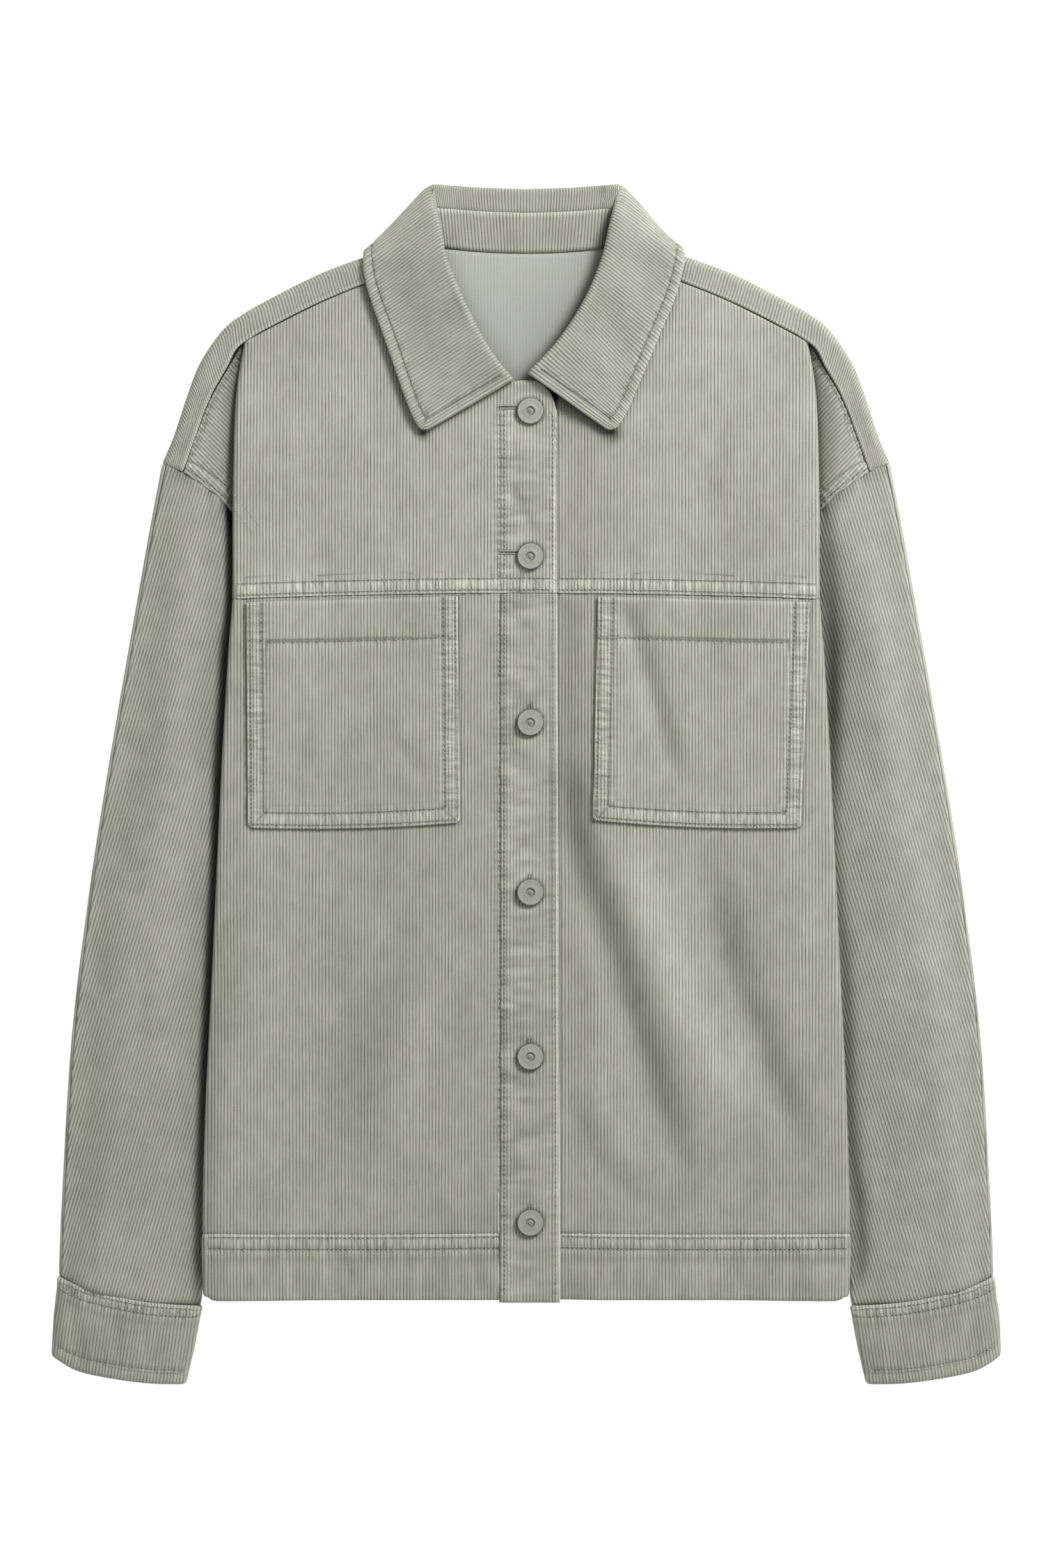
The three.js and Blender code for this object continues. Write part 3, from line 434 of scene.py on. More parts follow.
class Sewn:
    """One cut piece of the jacket: closed walls of cloth in millimetres, with what its cloth needs."""

    def __init__(self):
        self.points = []
        self.faces = []
        self.corners = []
        self.pattern = []
        self.tone = []
        self.painted_light_and_shade = []
        self.lining = []
        self.rows = {"row_at": [], "row_run": [], "row_pull": []}

    def wall(self, grid, pattern, thickness=PLY, ring=False, seen=None, up=1, **looks):
        """Adds a wall round a grid of points in the middle of the cloth. A ring joins its last column
        to its first. seen is a point whose outer face looks up, or down where up is -1. looks may give
        relief, the cloth's tone times painted shade, painted highlights and shade, rows of stitching,
        square (sides that stay unrounded) and reverse (the face that shows it)."""
        rows, columns = grid.shape[:2]
        spans = columns if ring else columns - 1
        seen = seen or (rows // 2, columns // 2)
        normal = outward(grid, ring, seen, up)
        relief = looks.get("relief", 0.0) * np.ones((rows, columns))
        grid = grid + normal * relief[..., None]
        normal = outward(grid, ring, seen, up)
        thick = thickness * np.ones((rows, columns))
        full = thick.copy()
        square = looks.get("square", ())
        border = np.zeros((rows, columns), bool)
        for side, part in {"first": np.s_[0], "last": np.s_[-1]}.items():
            border[part] = True
            thick[part] *= 1 if side in square else 0.55
        if not ring:
            for side, part in {"start": np.s_[:, 0], "end": np.s_[:, -1]}.items():
                border[part] = True
                thick[part] *= 1 if side in square else 0.55
        count = rows * columns
        base = sum(len(p) for p in self.points)
        top = grid + normal * thick[..., None] / 2
        low = grid - normal * thick[..., None] / 2
        number = np.arange(count).reshape(rows, columns)
        wide = np.arange(rows * (spans + 1)).reshape(rows, spans + 1)

        def quads(a, b, offset, flip):
            r, c = np.meshgrid(np.arange(rows - 1), np.arange(spans), indexing="ij")
            n = (c + 1) % columns
            order = [(r, c, c), (r, n, c + 1), (r + 1, n, c + 1), (r + 1, c, c)]
            order = order[::-1] if flip else order
            ids = np.stack([number[i, j] + offset for i, j, _ in order], -1).reshape(-1, 4)
            uvs = np.stack([wide[i, k] for i, _, k in order], -1).reshape(-1, 4)
            return ids, uvs

        faces_top, uvs_top = quads(0, 0, 0, False)
        faces_low, uvs_low = quads(0, 0, count, True)
        faces = [faces_top, faces_low]
        uvs = [uvs_top, uvs_low]
        edge_points = []
        loops = []
        if ring:
            loops = [[(0, c) for c in range(columns)], [(rows - 1, c) for c in reversed(range(columns))]]
        else:
            loop = [(0, c) for c in range(columns)]
            loop += [(r, columns - 1) for r in range(1, rows)]
            loop += [(rows - 1, c) for c in reversed(range(columns - 1))]
            loop += [(r, 0) for r in reversed(range(1, rows - 1))]
            loops = [loop]
        done = 2 * count
        for loop in loops:
            r, c = np.array(loop).T
            inner_r = np.clip(r, 1, rows - 2) if rows > 2 else r
            inner_c = c if ring or columns < 3 else np.clip(c, 1, columns - 2)
            out = unit(grid[r, c] - grid[inner_r, inner_c])
            bulge = 0.22 * (full[r, c] - 0.0) * (thick[r, c] < full[r, c])
            middle = grid[r, c] + out * bulge[:, None]
            edge_points.append(middle)
            k = np.arange(len(loop))
            n = (k + 1) % len(loop)
            a = number[r, c]
            b = number[r[n], c[n]]
            m = done + k
            mn = done + n
            over = np.stack([a, m, mn, b], -1)
            under = np.stack([m, a + count, b + count, mn], -1)
            wa = wide[r, c]
            wb = wide[r[n], c[n]]
            faces += [over, under]
            uvs += [np.stack([wa, wa, wb, wb], -1), np.stack([wa, wa, wb, wb], -1)]
            done += len(loop)
        points = np.concatenate([top.reshape(-1, 3), low.reshape(-1, 3), *edge_points])
        # The cloth's tone times painted shade, and painted highlights and shade, for each point
        tone = looks.get("tone", 1.0) * np.ones((rows, columns))
        painted_light_and_shade = looks.get("painted_light_and_shade", 0.0) * np.ones((rows, columns))
        rows_here = looks.get("rows", np.zeros((3, 1, 1))) * np.ones((3, rows, columns))
        flat_ids = [np.array([number[r, c] for r, c in loop]) for loop in loops]
        per_point = lambda a: np.concatenate([a.ravel(), a.ravel(), *[a.ravel()[i] for i in flat_ids]])
        reverse = looks.get("reverse")
        sides = [len(f) for f in faces]
        shows = [1 if reverse == "outer" else 0, 1 if reverse == "inner" else 0] + [0] * (len(faces) - 2)
        faces = np.concatenate(faces)
        a, b, c, d = (points[faces[:, i]] for i in range(4))
        volume = (a * np.cross(b, c)).sum() + (a * np.cross(c, d)).sum()
        uvs = np.concatenate(uvs)
        if volume < 0:
            faces = faces[:, ::-1]
            uvs = uvs[:, ::-1]
        shift = sum(len(p) for p in self.pattern)
        self.points.append(points)
        self.faces.append(faces + base)
        self.corners.append(uvs + shift)
        self.pattern.append(pattern.reshape(-1, 2))
        self.tone.append(per_point(tone))
        self.painted_light_and_shade.append(per_point(painted_light_and_shade))
        for label, values in zip(self.rows, rows_here):
            self.rows[label].append(per_point(values))
        self.lining.append(np.repeat(shows, sides))
        return self

    def finish(self, name, nodes, slot, flat, area=None, rests_on=(), reverse=None):
        """Makes the piece a mesh that rides on the jacket and stands for its CAD nodes."""
        mesh = bpy.data.meshes.new(f"{name}_cloth")
        faces = np.concatenate(self.faces)
        points = np.concatenate(self.points) * MM
        mesh.from_pydata(points.tolist(), [], faces.tolist())
        pattern = np.concatenate(self.pattern)[np.concatenate(self.corners).ravel()] * MM
        layer = mesh.uv_layers.new(name="Pattern")
        layer.data.foreach_set("uv", pattern.astype(np.float32).ravel())
        for label, values in {"tone": self.tone, "painted_light_and_shade": self.painted_light_and_shade, **self.rows}.items():
            attribute = mesh.attributes.new(label, "FLOAT", "POINT")
            attribute.data.foreach_set("value", np.concatenate(values).astype(np.float32))
        mesh.materials.append(corduroy)
        if reverse:
            mesh.materials.append(reverse)
            mesh.polygons.foreach_set("material_index", np.concatenate(self.lining).astype(np.int32))
        mesh.polygons.foreach_set("use_smooth", np.ones(len(faces), bool))
        mesh.update()
        piece = bpy.data.objects.new(f"{name}_cloth", mesh)
        bpy.context.scene.collection.objects.link(piece)
        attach(piece, "root")
        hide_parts(*nodes)
        return piece


class Value:
    """A shader value, so that node maths reads as plain arithmetic."""

    def __init__(self, shader, socket):
        self.shader = shader
        self.socket = socket

    def __add__(self, other):
        return self.shader.maths("ADD", self, other)

    def __sub__(self, other):
        return self.shader.maths("SUBTRACT", self, other)

    def __rsub__(self, other):
        return self.shader.maths("SUBTRACT", other, self)

    def __mul__(self, other):
        return self.shader.maths("MULTIPLY", self, other)

    def __pow__(self, other):
        return self.shader.maths("POWER", self, other)

    __radd__ = __add__
    __rmul__ = __mul__


class Shader:
    """A material built from nodes."""

    def __init__(self, name):
        self.material = bpy.data.materials.new(name)
        self.material.use_nodes = True
        self.tree = self.material.node_tree
        self.tree.nodes.clear()

    def node(self, kind, settings=None, **inputs):
        """Adds a node: its settings first, then the values or links of its sockets."""
        made = self.tree.nodes.new(kind)
        for key, value in (settings or {}).items():
            setattr(made, key, value)
        for key, value in inputs.items():
            socket = made.inputs[int(key[1:])] if key[1:].isdigit() else made.inputs[key.replace("_", " ")]
            if isinstance(value, Value):
                self.tree.links.new(value.socket, socket)
            else:
                socket.default_value = value
        return made

    def value(self, kind, settings=None, out=0, **inputs):
        return Value(self, self.node(kind, settings, **inputs).outputs[out])

    def maths(self, operation, a, b=0.0):
        return self.value("ShaderNodeMath", {"operation": operation}, i0=a, i1=b)

    def blend(self, factor, a, b):
        made = self.node("ShaderNodeMix", {"data_type": "RGBA"}, i0=factor, i6=a, i7=b)
        return Value(self, made.outputs[2])

    def scaled(self, colour, factor):
        return self.value("ShaderNodeVectorMath", {"operation": "SCALE"}, i0=colour, Scale=factor)

    def noise(self, vector, scale, detail=2.0, roughness=0.5):
        return self.value("ShaderNodeTexNoise", Vector=vector, Scale=scale, Detail=detail, Roughness=roughness)

    def attribute(self, name):
        made = self.node("ShaderNodeAttribute", {"attribute_name": name})
        return Value(self, made.outputs["Fac"])

    def surface(self, colour, roughness, bump=None, **uniform):
        """Ends the material. uniform holds what is the same all over, set on the shader's own sockets."""
        links = {"Base_Color": colour, "Roughness": roughness, **uniform}
        if bump:
            height, strength, distance = bump
            settings = {"Height": height, "Strength": strength, "Distance": distance, "Filter_Width": 0.1}
            links["Normal"] = self.value("ShaderNodeBump", **settings)
        shaded = self.value("ShaderNodeBsdfPrincipled", **links)
        self.node("ShaderNodeOutputMaterial", Surface=shaded)
        return self.material


def corduroy_cloth():
    """Cut pile in wales along the pattern's second axis, with grooves between them painted dark as shade."""
    s = Shader("corduroy")
    pattern = s.value("ShaderNodeUVMap", {"uv_map": "Pattern"})
    split = s.node("ShaderNodeSeparateXYZ", i0=pattern)
    across = Value(s, split.outputs[0])
    along = Value(s, split.outputs[1])
    place = s.value("ShaderNodeTexCoord", out=3)
    drift = s.value("ShaderNodeCombineXYZ", i0=across * 60.0, i1=along * 9.0, i2=0.0)
    sway = (s.noise(drift, 1.0) - 0.5) * 0.8
    phase = (across * (1.0 / (WALE * MM)) + sway) * math.pi
    wale = s.maths("ABSOLUTE", s.maths("SINE", phase))
    soft = s.noise(place, 90.0, 2.0, 0.55)
    pile = 1.0 - (1.0 - wale**0.62) * (0.45 + soft * 0.8)
    comb = s.value("ShaderNodeCombineXYZ", i0=across * 950.0, i1=along * 70.0, i2=0.0)
    streaks = s.noise(comb, 1.0, 3.0, 0.6)
    tuft = s.value("ShaderNodeCombineXYZ", i0=across * 2100.0, i1=along * 1300.0, i2=0.0)
    tufts = s.noise(tuft, 1.0, 2.0, 0.6)
    blotch = s.noise(place, 14.0, 3.0, 0.55)
    patch_shade = s.noise(place, 55.0, 2.0, 0.5)
    # Painted shade: the grooves between the wales take a dark colour
    colour = s.blend(pile, PAINTED_GROOVE_SHADE, SAGE_PILE)
    shade = 0.38 + streaks * 0.46 + tufts * 0.46 + blotch * 0.20 + patch_shade * 0.20
    row_at = s.attribute("row_at")
    row_run = s.attribute("row_run")
    row_pull = s.attribute("row_pull")
    dash = s.maths("ABSOLUTE", s.maths("SINE", row_run * (math.pi / 3.0))) * 0.5 + 0.5
    lines = 0.0
    for middle in (0.0, 1.0):
        gap = (row_at - middle) * (1.0 / ROW_WIDTH)
        lines = s.maths("EXPONENT", gap * gap * -1.0) + lines
    lines = lines * dash * row_pull
    gap = (row_at - 0.5) * (1.0 / 0.75)
    between = s.maths("EXPONENT", gap * gap * -1.0) * row_pull
    rung = s.value("ShaderNodeCombineXYZ", i0=row_run * 0.33, i1=row_at * 0.5, i2=2.0)
    ladder = (s.noise(rung, 1.0, 2.0, 0.6) - 0.5) * between
    # Painted light and shade from the pieces, and painted shade on stitch rows and the puckers between
    painted_lightness = s.attribute("painted_light_and_shade") + 1.0
    painted_stitch_shade = 1.0 - lines * 0.42 + ladder * 0.95 + between * 0.03
    colour = s.scaled(colour, shade * s.attribute("tone") * painted_lightness * painted_stitch_shade)
    height = pile + streaks * 0.22 + tufts * 0.28 - lines * 1.4 + ladder * 3.0
    return s.surface(
        colour,
        0.98 - streaks * 0.1,
        (height, 0.9, 0.0006),
        Sheen_Weight=0.18,
        Sheen_Roughness=0.45,
        Sheen_Tint=(0.80, 0.81, 0.72, 1.0),
        Specular_IOR_Level=0.18,
    )


def reverse_cloth():
    """The plain woven side of the corduroy, with faint lines where the wales are on the other side."""
    s = Shader("corduroy_reverse")
    pattern = s.value("ShaderNodeUVMap", {"uv_map": "Pattern"})
    split = s.node("ShaderNodeSeparateXYZ", i0=pattern)
    across = Value(s, split.outputs[0])
    along = Value(s, split.outputs[1])
    place = s.value("ShaderNodeTexCoord", out=3)
    lines = s.maths("ABSOLUTE", s.maths("SINE", across * (math.pi / (WALE * MM))))
    picks = s.maths("ABSOLUTE", s.maths("SINE", along * (math.pi / (0.6 * MM))))
    blotch = s.noise(place, 22.0, 3.0, 0.55)
    fuzz = s.noise(place, 1400.0, 2.0, 0.6)
    shade = 0.72 + lines * 0.16 + picks * 0.07 + blotch * 0.14 + fuzz * 0.18
    # Times the tone attribute, which holds painted shadow on the inside of the back beside the collar
    colour = s.scaled(s.blend(blotch, REVERSE_CLOTH, (0.325, 0.337, 0.300, 1.0)), shade * s.attribute("tone"))
    height = lines * 0.4 + picks * 0.3 + fuzz * 0.5
    return s.surface(colour, 0.92 - fuzz * 0.08, (height, 0.4, 0.0003), Specular_IOR_Level=0.2)


def thread_finish():
    s = Shader("sewing_thread")
    place = s.value("ShaderNodeTexCoord", out=3)
    fuzz = s.noise(place, 2600.0, 2.0, 0.6)
    shade = 0.8 + fuzz * 0.4
    return s.surface(s.scaled(s.blend(fuzz, THREAD, SAGE_PILE), shade), 0.75 + fuzz * 0.1, (fuzz, 0.4, 0.0002))


def button_finish():
    """Matt sage paint with fine speckle, with painted highlights on its rims and painted shade at its edge."""
    s = Shader("button_paint")
    place = s.value("ShaderNodeTexCoord", out=3)
    speckle = s.noise(place, 900.0, 3.0, 0.6)
    cloud = s.noise(place, 160.0, 2.0, 0.5)
    painted_button_light_and_shade = s.attribute("painted_light_and_shade")
    # Painted highlights on the raised rims, painted shade at the edge, in the sunk ring and at the middle
    shade = 0.82 + speckle * 0.22 + cloud * 0.16 + painted_button_light_and_shade * 0.5
    colour = s.scaled(s.blend(cloud, BUTTON_PAINT, (0.298, 0.304, 0.256, 1.0)), shade)
    return s.surface(colour, 0.5 + speckle * 0.18, (speckle, 0.25, 0.0001), Metallic=0.25)


def floor_finish():
    s = Shader("studio_floor")
    place = s.value("ShaderNodeTexCoord", out=3)
    grain = s.noise(place, 40.0, 2.0, 0.5)
    return s.surface(s.scaled(s.blend(grain, (0.80, 0.80, 0.80, 1.0), (0.82, 0.82, 0.82, 1.0)), 1.0), 0.95, Emission_Color=(1.0, 1.0, 1.0, 1.0), Emission_Strength=0.65)


corduroy = corduroy_cloth()
reverse_side = reverse_cloth()
thread = thread_finish()
paint = button_finish()


# Rows of stitching, kept as they are laid so that the thread can follow them
thread_rows = []


def stitched(grid, rows, seed=11, depth=0.6, pucker=0.3, dark=0.26, shown=None):
    """How rows of stitching pull the cloth in and pucker it beside them, and the shade that gives."""
    x = grid[..., 0]
    y = grid[..., 1]
    relief = np.zeros(x.shape)
    painted_light_and_shade = np.zeros(x.shape)
    for k, path in enumerate(rows):
        away, along, length = nearest(x, y, path)
        inside = smooth(-1, 3, along) * (1 - smooth(length - 3, length + 1, along))
        inside = np.maximum(inside, away < 2)
        pull = np.exp(-((away / 1.55) ** 2))
        wave = np.sin(2 * math.pi * along / 5.4 + 2.4 * soft_noise(along, 5.0 * k, 17, seed + k))
        lift = soft_noise(along, 9.0 * k, 11, seed + 40 + k)
        reach = np.exp(-((away / 5.2) ** 2)) * inside
        relief += -depth * (1 + 0.35 * lift) * pull + pucker * wave * reach + 0.10 * reach
        # Painted shade in the row's groove, and painted light and shade on the puckers beside it
        painted_light_and_shade += -dark * pull + 0.09 * wave * reach + 0.05 * reach
    if shown is not None:
        relief = relief * shown
        painted_light_and_shade = painted_light_and_shade * shown
    return relief, painted_light_and_shade


def signed_from(x, y, path):
    """Signed distance of each point from a path, positive on its left, and how far along it is."""
    best = np.full(np.shape(x), np.inf)
    signed = np.zeros(np.shape(x))
    run = np.zeros(np.shape(x))
    done = 0.0
    for (x1, y1), (x2, y2) in zip(path[:-1], path[1:]):
        length = math.hypot(x2 - x1, y2 - y1) or 1e-9
        t = np.clip(((x - x1) * (x2 - x1) + (y - y1) * (y2 - y1)) / length**2, 0, 1)
        away = np.hypot(x - mix(x1, x2, t), y - mix(y1, y2, t))
        turn = (x2 - x1) * (y - y1) - (y2 - y1) * (x - x1)
        closer = away < best
        best = np.where(closer, away, best)
        signed = np.where(closer, np.where(turn < 0, -away, away), signed)
        run = np.where(closer, done + t * length, run)
        done += length
    return signed, run


def seam_rows(grid, pairs=(), single=(), thin=(), shown=1.0):
    """Where the rows of stitching lie, for the material: 0 and 1 across a pair of rows, how far along
    them, and how strongly they pull. A single row puckers the cloth towards a given point, a thin one
    hardly does."""
    x = grid[..., 0]
    y = grid[..., 1]
    found = np.zeros((3,) + x.shape)

    def keep(at, run, pull):
        stronger = pull > found[2]
        for k, values in enumerate((at, run, pull)):
            found[k] = np.where(stronger, values, found[k])

    for first, second in pairs:
        signed, run = signed_from(x, y, first)
        middle = np.array(second)[len(second) // 2]
        gap = float(signed_from(middle[0], middle[1], first)[0])
        at = signed / gap
        beyond = np.maximum(-at, at - 1) * abs(gap)
        keep(at, run, 1 - smooth(2.0, 5.5, beyond))
    for path, towards in single:
        signed, run = signed_from(x, y, path)
        signed = signed * np.sign(signed_from(towards[0], towards[1], path)[0])
        pull = np.where(signed > 0, 1 - smooth(5, 9, signed), 1 - smooth(1.5, 3, -signed))
        keep(1 + signed / ROW_GAP, run, 0.8 * pull)
    for path in thin:
        signed, run = signed_from(x, y, path)
        keep(1 + signed / ROW_GAP, run, 0.6 * (1 - smooth(0.9, 2.6, np.abs(signed))))
    found[2] *= shown
    return found


def wrinkles(x, y, size, seed, depth=0.4, shade=0.14):
    """Short uneven wrinkles, and painted shade that follows them: lighter on ridges, darker in hollows."""
    wave = soft_noise(x, y, size, seed) + 0.5 * soft_noise(x, y, size * 0.55, seed + 1)
    return depth * wave, shade * wave


def placket_wrinkles(x, y):
    """Wrinkles across the placket, deepest beside the row that holds its facing."""
    reach = smooth(FACING_STITCH - 3, FACING_STITCH + 1, x) * (1 - 0.65 * smooth(-8, 14, x))
    relief, shade = wrinkles(x * 0.3, y, 4.4, 77, 0.65, 0.2)
    return relief * reach, shade * reach


def leaf_shade(side, x, y):
    """Shade on the yoke just outside the collar, deepest under the front edge of its right half."""
    rings = collar_rings(side, np.linspace(5.0, 12, 50))
    outer = rings["edge"][:, :2]
    front = mix(outer[-1:], rings["roll"][-1:, :2], np.linspace(0, 1, 12)[:, None])
    beside_outer = nearest(x, y, outer)[0]
    beside_front = nearest(x, y, front)[0]
    if side < 0:
        return -0.58 * np.exp(-((beside_outer / 4.4) ** 2)) - 0.30 * np.exp(-((beside_front / 2.6) ** 2))
    return -0.14 * np.exp(-((beside_outer / 2.2) ** 2)) - 0.80 * np.exp(-((beside_front / 6.4) ** 2))


def button_shade(x, y):
    """The dark line round each button, and the slit of its hole."""
    total = 0.0 * x
    for k, middle in enumerate(BUTTON_Y):
        total -= 0.5 * np.exp(-(((np.hypot(x - BUTTON_X, y - middle) - BUTTON_RADIUS) / 1.1) ** 2))
        slit = [(-17, middle + 2.5), (-5, middle + 2.5)] if k < 2 else [(2.7, middle + 12), (2.7, middle + 9)]
        total -= 0.75 * np.exp(-((nearest(x, y, np.array(slit))[0] / 0.6) ** 2))
    return total


def pocket_shade(side, x, y):
    """The dark line on the front round a pocket."""
    line = np.linspace(0, 1, 14)
    down = [pair(*pocket_plan(side, line * 0, line)), pair(*pocket_plan(side, line * 0 + 1, line))]
    across = pair(*pocket_plan(side, line, line * 0 + 1))
    away = np.minimum.reduce([nearest(x, y, path)[0] for path in down + [across]])
    return -0.38 * np.exp(-((away / 1.5) ** 2))


def placket_shadow(x, y):
    """Painted shadow on the right half along the placket's folded edge."""
    away = np.maximum(x - placket_edge(y), 0)
    return -0.42 * np.exp(-((away / 1.3) ** 2))


def rounded(grid, row, column, radius):
    """Rounds off the corner of a grid that row and column (0 or -1 each) name."""
    tip = grid[row, column]
    along = unit(grid[:, column] - tip)[1 if row == 0 else -2]
    across = unit(grid[row] - tip)[1 if column == 0 else -2]
    away = grid - tip
    a = np.clip(1 - (away @ along) / radius, 0, 1)
    b = np.clip(1 - (away @ across) / radius, 0, 1)
    pull = 1 - np.maximum(a, b) / np.maximum(np.hypot(a, b), 1e-9)
    return grid + radius * ((a * pull)[..., None] * along + (b * pull)[..., None] * across)


def turn_under(side, y, top_z, hold, foot):
    """From the top layer's edge round the side fold and back in over the sleeve's edge."""
    angle = math.pi * (0.5 - np.linspace(1 / 9, 1, 9))
    start = (fold_at(y) - FOLD_RADIUS)[:, None]
    d = start + FOLD_RADIUS * np.cos(angle)
    z = (top_z - FOLD_RADIUS)[:, None] + FOLD_RADIUS * np.sin(angle)
    level = np.linspace(0.12, 1, 9)
    d = np.concatenate([d, mix(start, hold[:, None], level)], 1)
    low = (top_z - 2 * FOLD_RADIUS)[:, None]
    z = np.concatenate([z, low + 0 * level], 1)
    for step_d, step_z in foot:
        share = np.linspace(0.5, 1, 2)
        z = np.concatenate([z, mix(z[:, -1:], np.reshape(step_z, (-1, 1)), share)], 1)
        d = np.concatenate([d, mix(d[:, -1:], np.reshape(step_d, (-1, 1)), share)], 1)
    return np.stack([side * d, y[:, None] + 0 * d, z], -1)


def side_foot(seam, ply):
    flat = 0 * seam
    return [(seam + 0.2, flat + 4.4), (seam - 1.6, flat + ply / 2 + 0.5), (seam - 4, flat + ply / 2 + 0.1)]


def straight(grid, top_columns):
    """Pattern with the wales up and down: across is x on the top layer and goes on round the fold."""
    run = run_along(grid, 1)
    last = top_columns - 1
    side = 1 if grid[0, last, 0] > grid[0, 0, 0] else -1
    across = grid[:, last : last + 1, 0] + side * (run - run[:, last : last + 1])
    across[:, :top_columns] = grid[:, :top_columns, 0]
    return np.stack([across, grid[..., 1]], -1)


def leaning(grid, first, stop):
    """Pattern of a top sleeve: its wales lean SLEEVE_GRAIN off the jacket's length, and go on round the edges."""
    lean = math.radians(SLEEVE_GRAIN)
    d = np.abs(grid[..., 0])
    across = d * math.cos(lean) + grid[..., 1] * math.sin(lean)
    run = run_along(grid, 1)
    last = stop - 1
    across[:, :first] = across[:, first : first + 1] + run[:, first : first + 1] - run[:, :first]
    across[:, stop:] = across[:, last : last + 1] - run[:, stop:] + run[:, last : last + 1]
    return np.stack([across, d * math.sin(lean) - grid[..., 1] * math.cos(lean)], -1)


def top_mask(columns, top_columns):
    return (np.arange(columns) < top_columns).astype(float)[None, :]


def front_rows(side):
    """Stitch rows that show on a lower front, with its placket."""
    if side > 0:
        return []
    y = np.linspace(122, PLACKET_HEM + 4, 40)
    return [
        pair(placket_edge(y) - 2.4, y),
        pair(FACING_STITCH + 0 * y[:34], y[:34]),
        pair(FACING_STITCH + 2.9 + 0 * y, y),
    ]


def lower_front(side):
    name = {-1: "left", 1: "right"}[side]
    low = band_seam(0.0)
    high = yoke_seam(0.0)
    drop = no_drop if side < 0 else underlap_drop
    start = -FACING_STITCH if side < 0 else UNDERLAP_EDGE
    v = np.linspace(0, 1, 209)[:, None]
    u = np.linspace(0, 1, 93)[None, :]
    guess = mix(low, high, v)
    d = mix(start, fold_at(guess) - FOLD_RADIUS, u)
    y = mix(band_seam(d), yoke_seam(d), v)
    x = side * mix(start, fold_at(y) - FOLD_RADIUS, u)
    top = np.stack([x, y, front_height(x, y) - drop(x)], -1)
    last = top[:, -1]
    seam = side_seam(last[:, 1])
    under = turn_under(side, last[:, 1], last[:, 2], seam + 2.6, side_foot(seam, PLY))
    grid = trim(np.concatenate([top, under], 1), ["first", "last", "end"])
    shown = top_mask(grid.shape[1], u.size)
    relief, painted_light_and_shade = stitched(grid, front_rows(side), 20 + side, 0.4, 0.2, 0.14, shown)
    sunk = 0.35 * (near_edge(grid, "last", 3.5) + near_edge(grid, "first", 3.0))
    # Painted shade under the yoke's edge, along the band seam, round the pocket and beside the placket
    painted_light_and_shade = painted_light_and_shade - 0.16 * near_edge(grid, "last", 2.5) - 0.06 * near_edge(grid, "first", 2.0)
    painted_light_and_shade = painted_light_and_shade + pocket_shade(side, grid[..., 0], grid[..., 1]) * shown
    if side > 0:
        painted_light_and_shade = painted_light_and_shade + placket_shadow(grid[..., 0], grid[..., 1]) * shown
    piece = Sewn()
    thick = PLY + (DOUBLE_PLY - PLY) * (near_edge(grid, "start", 2.5) if side < 0 else 0)
    square = ("start",) if side < 0 else ()
    looks = {"relief": relief - sunk * shown, "painted_light_and_shade": painted_light_and_shade, "tone": fold_tone(grid, 0.975, shown), "square": square}
    if side < 0:
        looks["rows"] = seam_rows(grid, thin=[front_rows(side)[1]], shown=shown)
    piece.wall(grid, straight(grid, u.size), thick, seen=(60, 20), **looks)
    if side < 0:
        v = np.linspace(0, 1, 231)[:, None]
        u = np.linspace(0, 1, 21)[None, :]
        y = mix(PLACKET_HEM, high, v) + 0 * u
        x = mix(placket_edge(y), FACING_STITCH, u)
        grid = trim(np.stack([x, y, front_height(x, y)], -1), ["last"])
        relief, painted_light_and_shade = stitched(grid, front_rows(side), 20 + side, 0.4, 0.2, 0.14)
        fold = near_edge(grid, "start", 2.2)
        fine, shade = placket_wrinkles(grid[..., 0], grid[..., 1])
        relief += fine
        # Painted highlight on the placket's fold; painted shade on wrinkles, under the yoke, round buttons
        painted_light_and_shade += shade + 0.4 * fold - 0.10 * near_edge(grid, "last", 2.5) + button_shade(grid[..., 0], grid[..., 1])
        looks = {"relief": relief + 0.25 * fold, "painted_light_and_shade": painted_light_and_shade, "tone": fold_tone(grid, 0.985), "square": ("end",)}
        fold_row, facing_row, second_row = front_rows(side)
        looks["rows"] = seam_rows(grid, single=[(second_row, (0.0, 0.0))], thin=[fold_row, facing_row])
        pattern = np.stack([x, grid[..., 1]], -1)
        piece.wall(grid, pattern, DOUBLE_PLY, seen=(60, 8), **looks)
        thread_rows.extend(("lower_front_left", row) for row in front_rows(side))
    flat, area = ((0.292, 0.461), 0.112) if side < 0 else ((0.270, 0.417), 0.101)
    rests = [f"under_sleeve_{name}", f"top_sleeve_{name}", "back_panel"]
    return piece.finish(f"lower_front_{name}", [f"lower_front_{name}"], "corduroy", flat, area, rests)


def yoke_rows(side):
    """Topstitching of the yoke above its lower edge, and down the placket where it has one."""
    inner = 17.0 if side < 0 else 22.0
    d = np.linspace(inner if side > 0 else -15, 188, 40)
    rows = [pair(side * d, yoke_seam(d) + lift) for lift in (1.7, 8.9)]
    if side < 0:
        y = np.linspace(126, 240, 20)
        rows.append(pair(placket_edge(y) - 2.4, y))
        rows.append(pair(FACING_STITCH + 0 * y, y))
        rows.append(pair(FACING_STITCH + 2.9 + 0 * y, y))
    return rows


def drop_rows(side):
    """Topstitching along the armhole, and along the seam at the shoulder."""
    hole = line_of(ARMHOLE)(np.linspace(0.02, 0.62, 24))
    inward = unit(np.array([-0.55, 0.83]))
    seam = line_of(DROP_SHOULDER_SEAM)(np.linspace(0.04, 0.97, 18))
    first = hole + inward * 2.4
    second = hole + inward * 8.6
    return [pair(side * r[:, 0], r[:, 1]) for r in (first, second, seam + np.array([-1.8, -0.9]))]


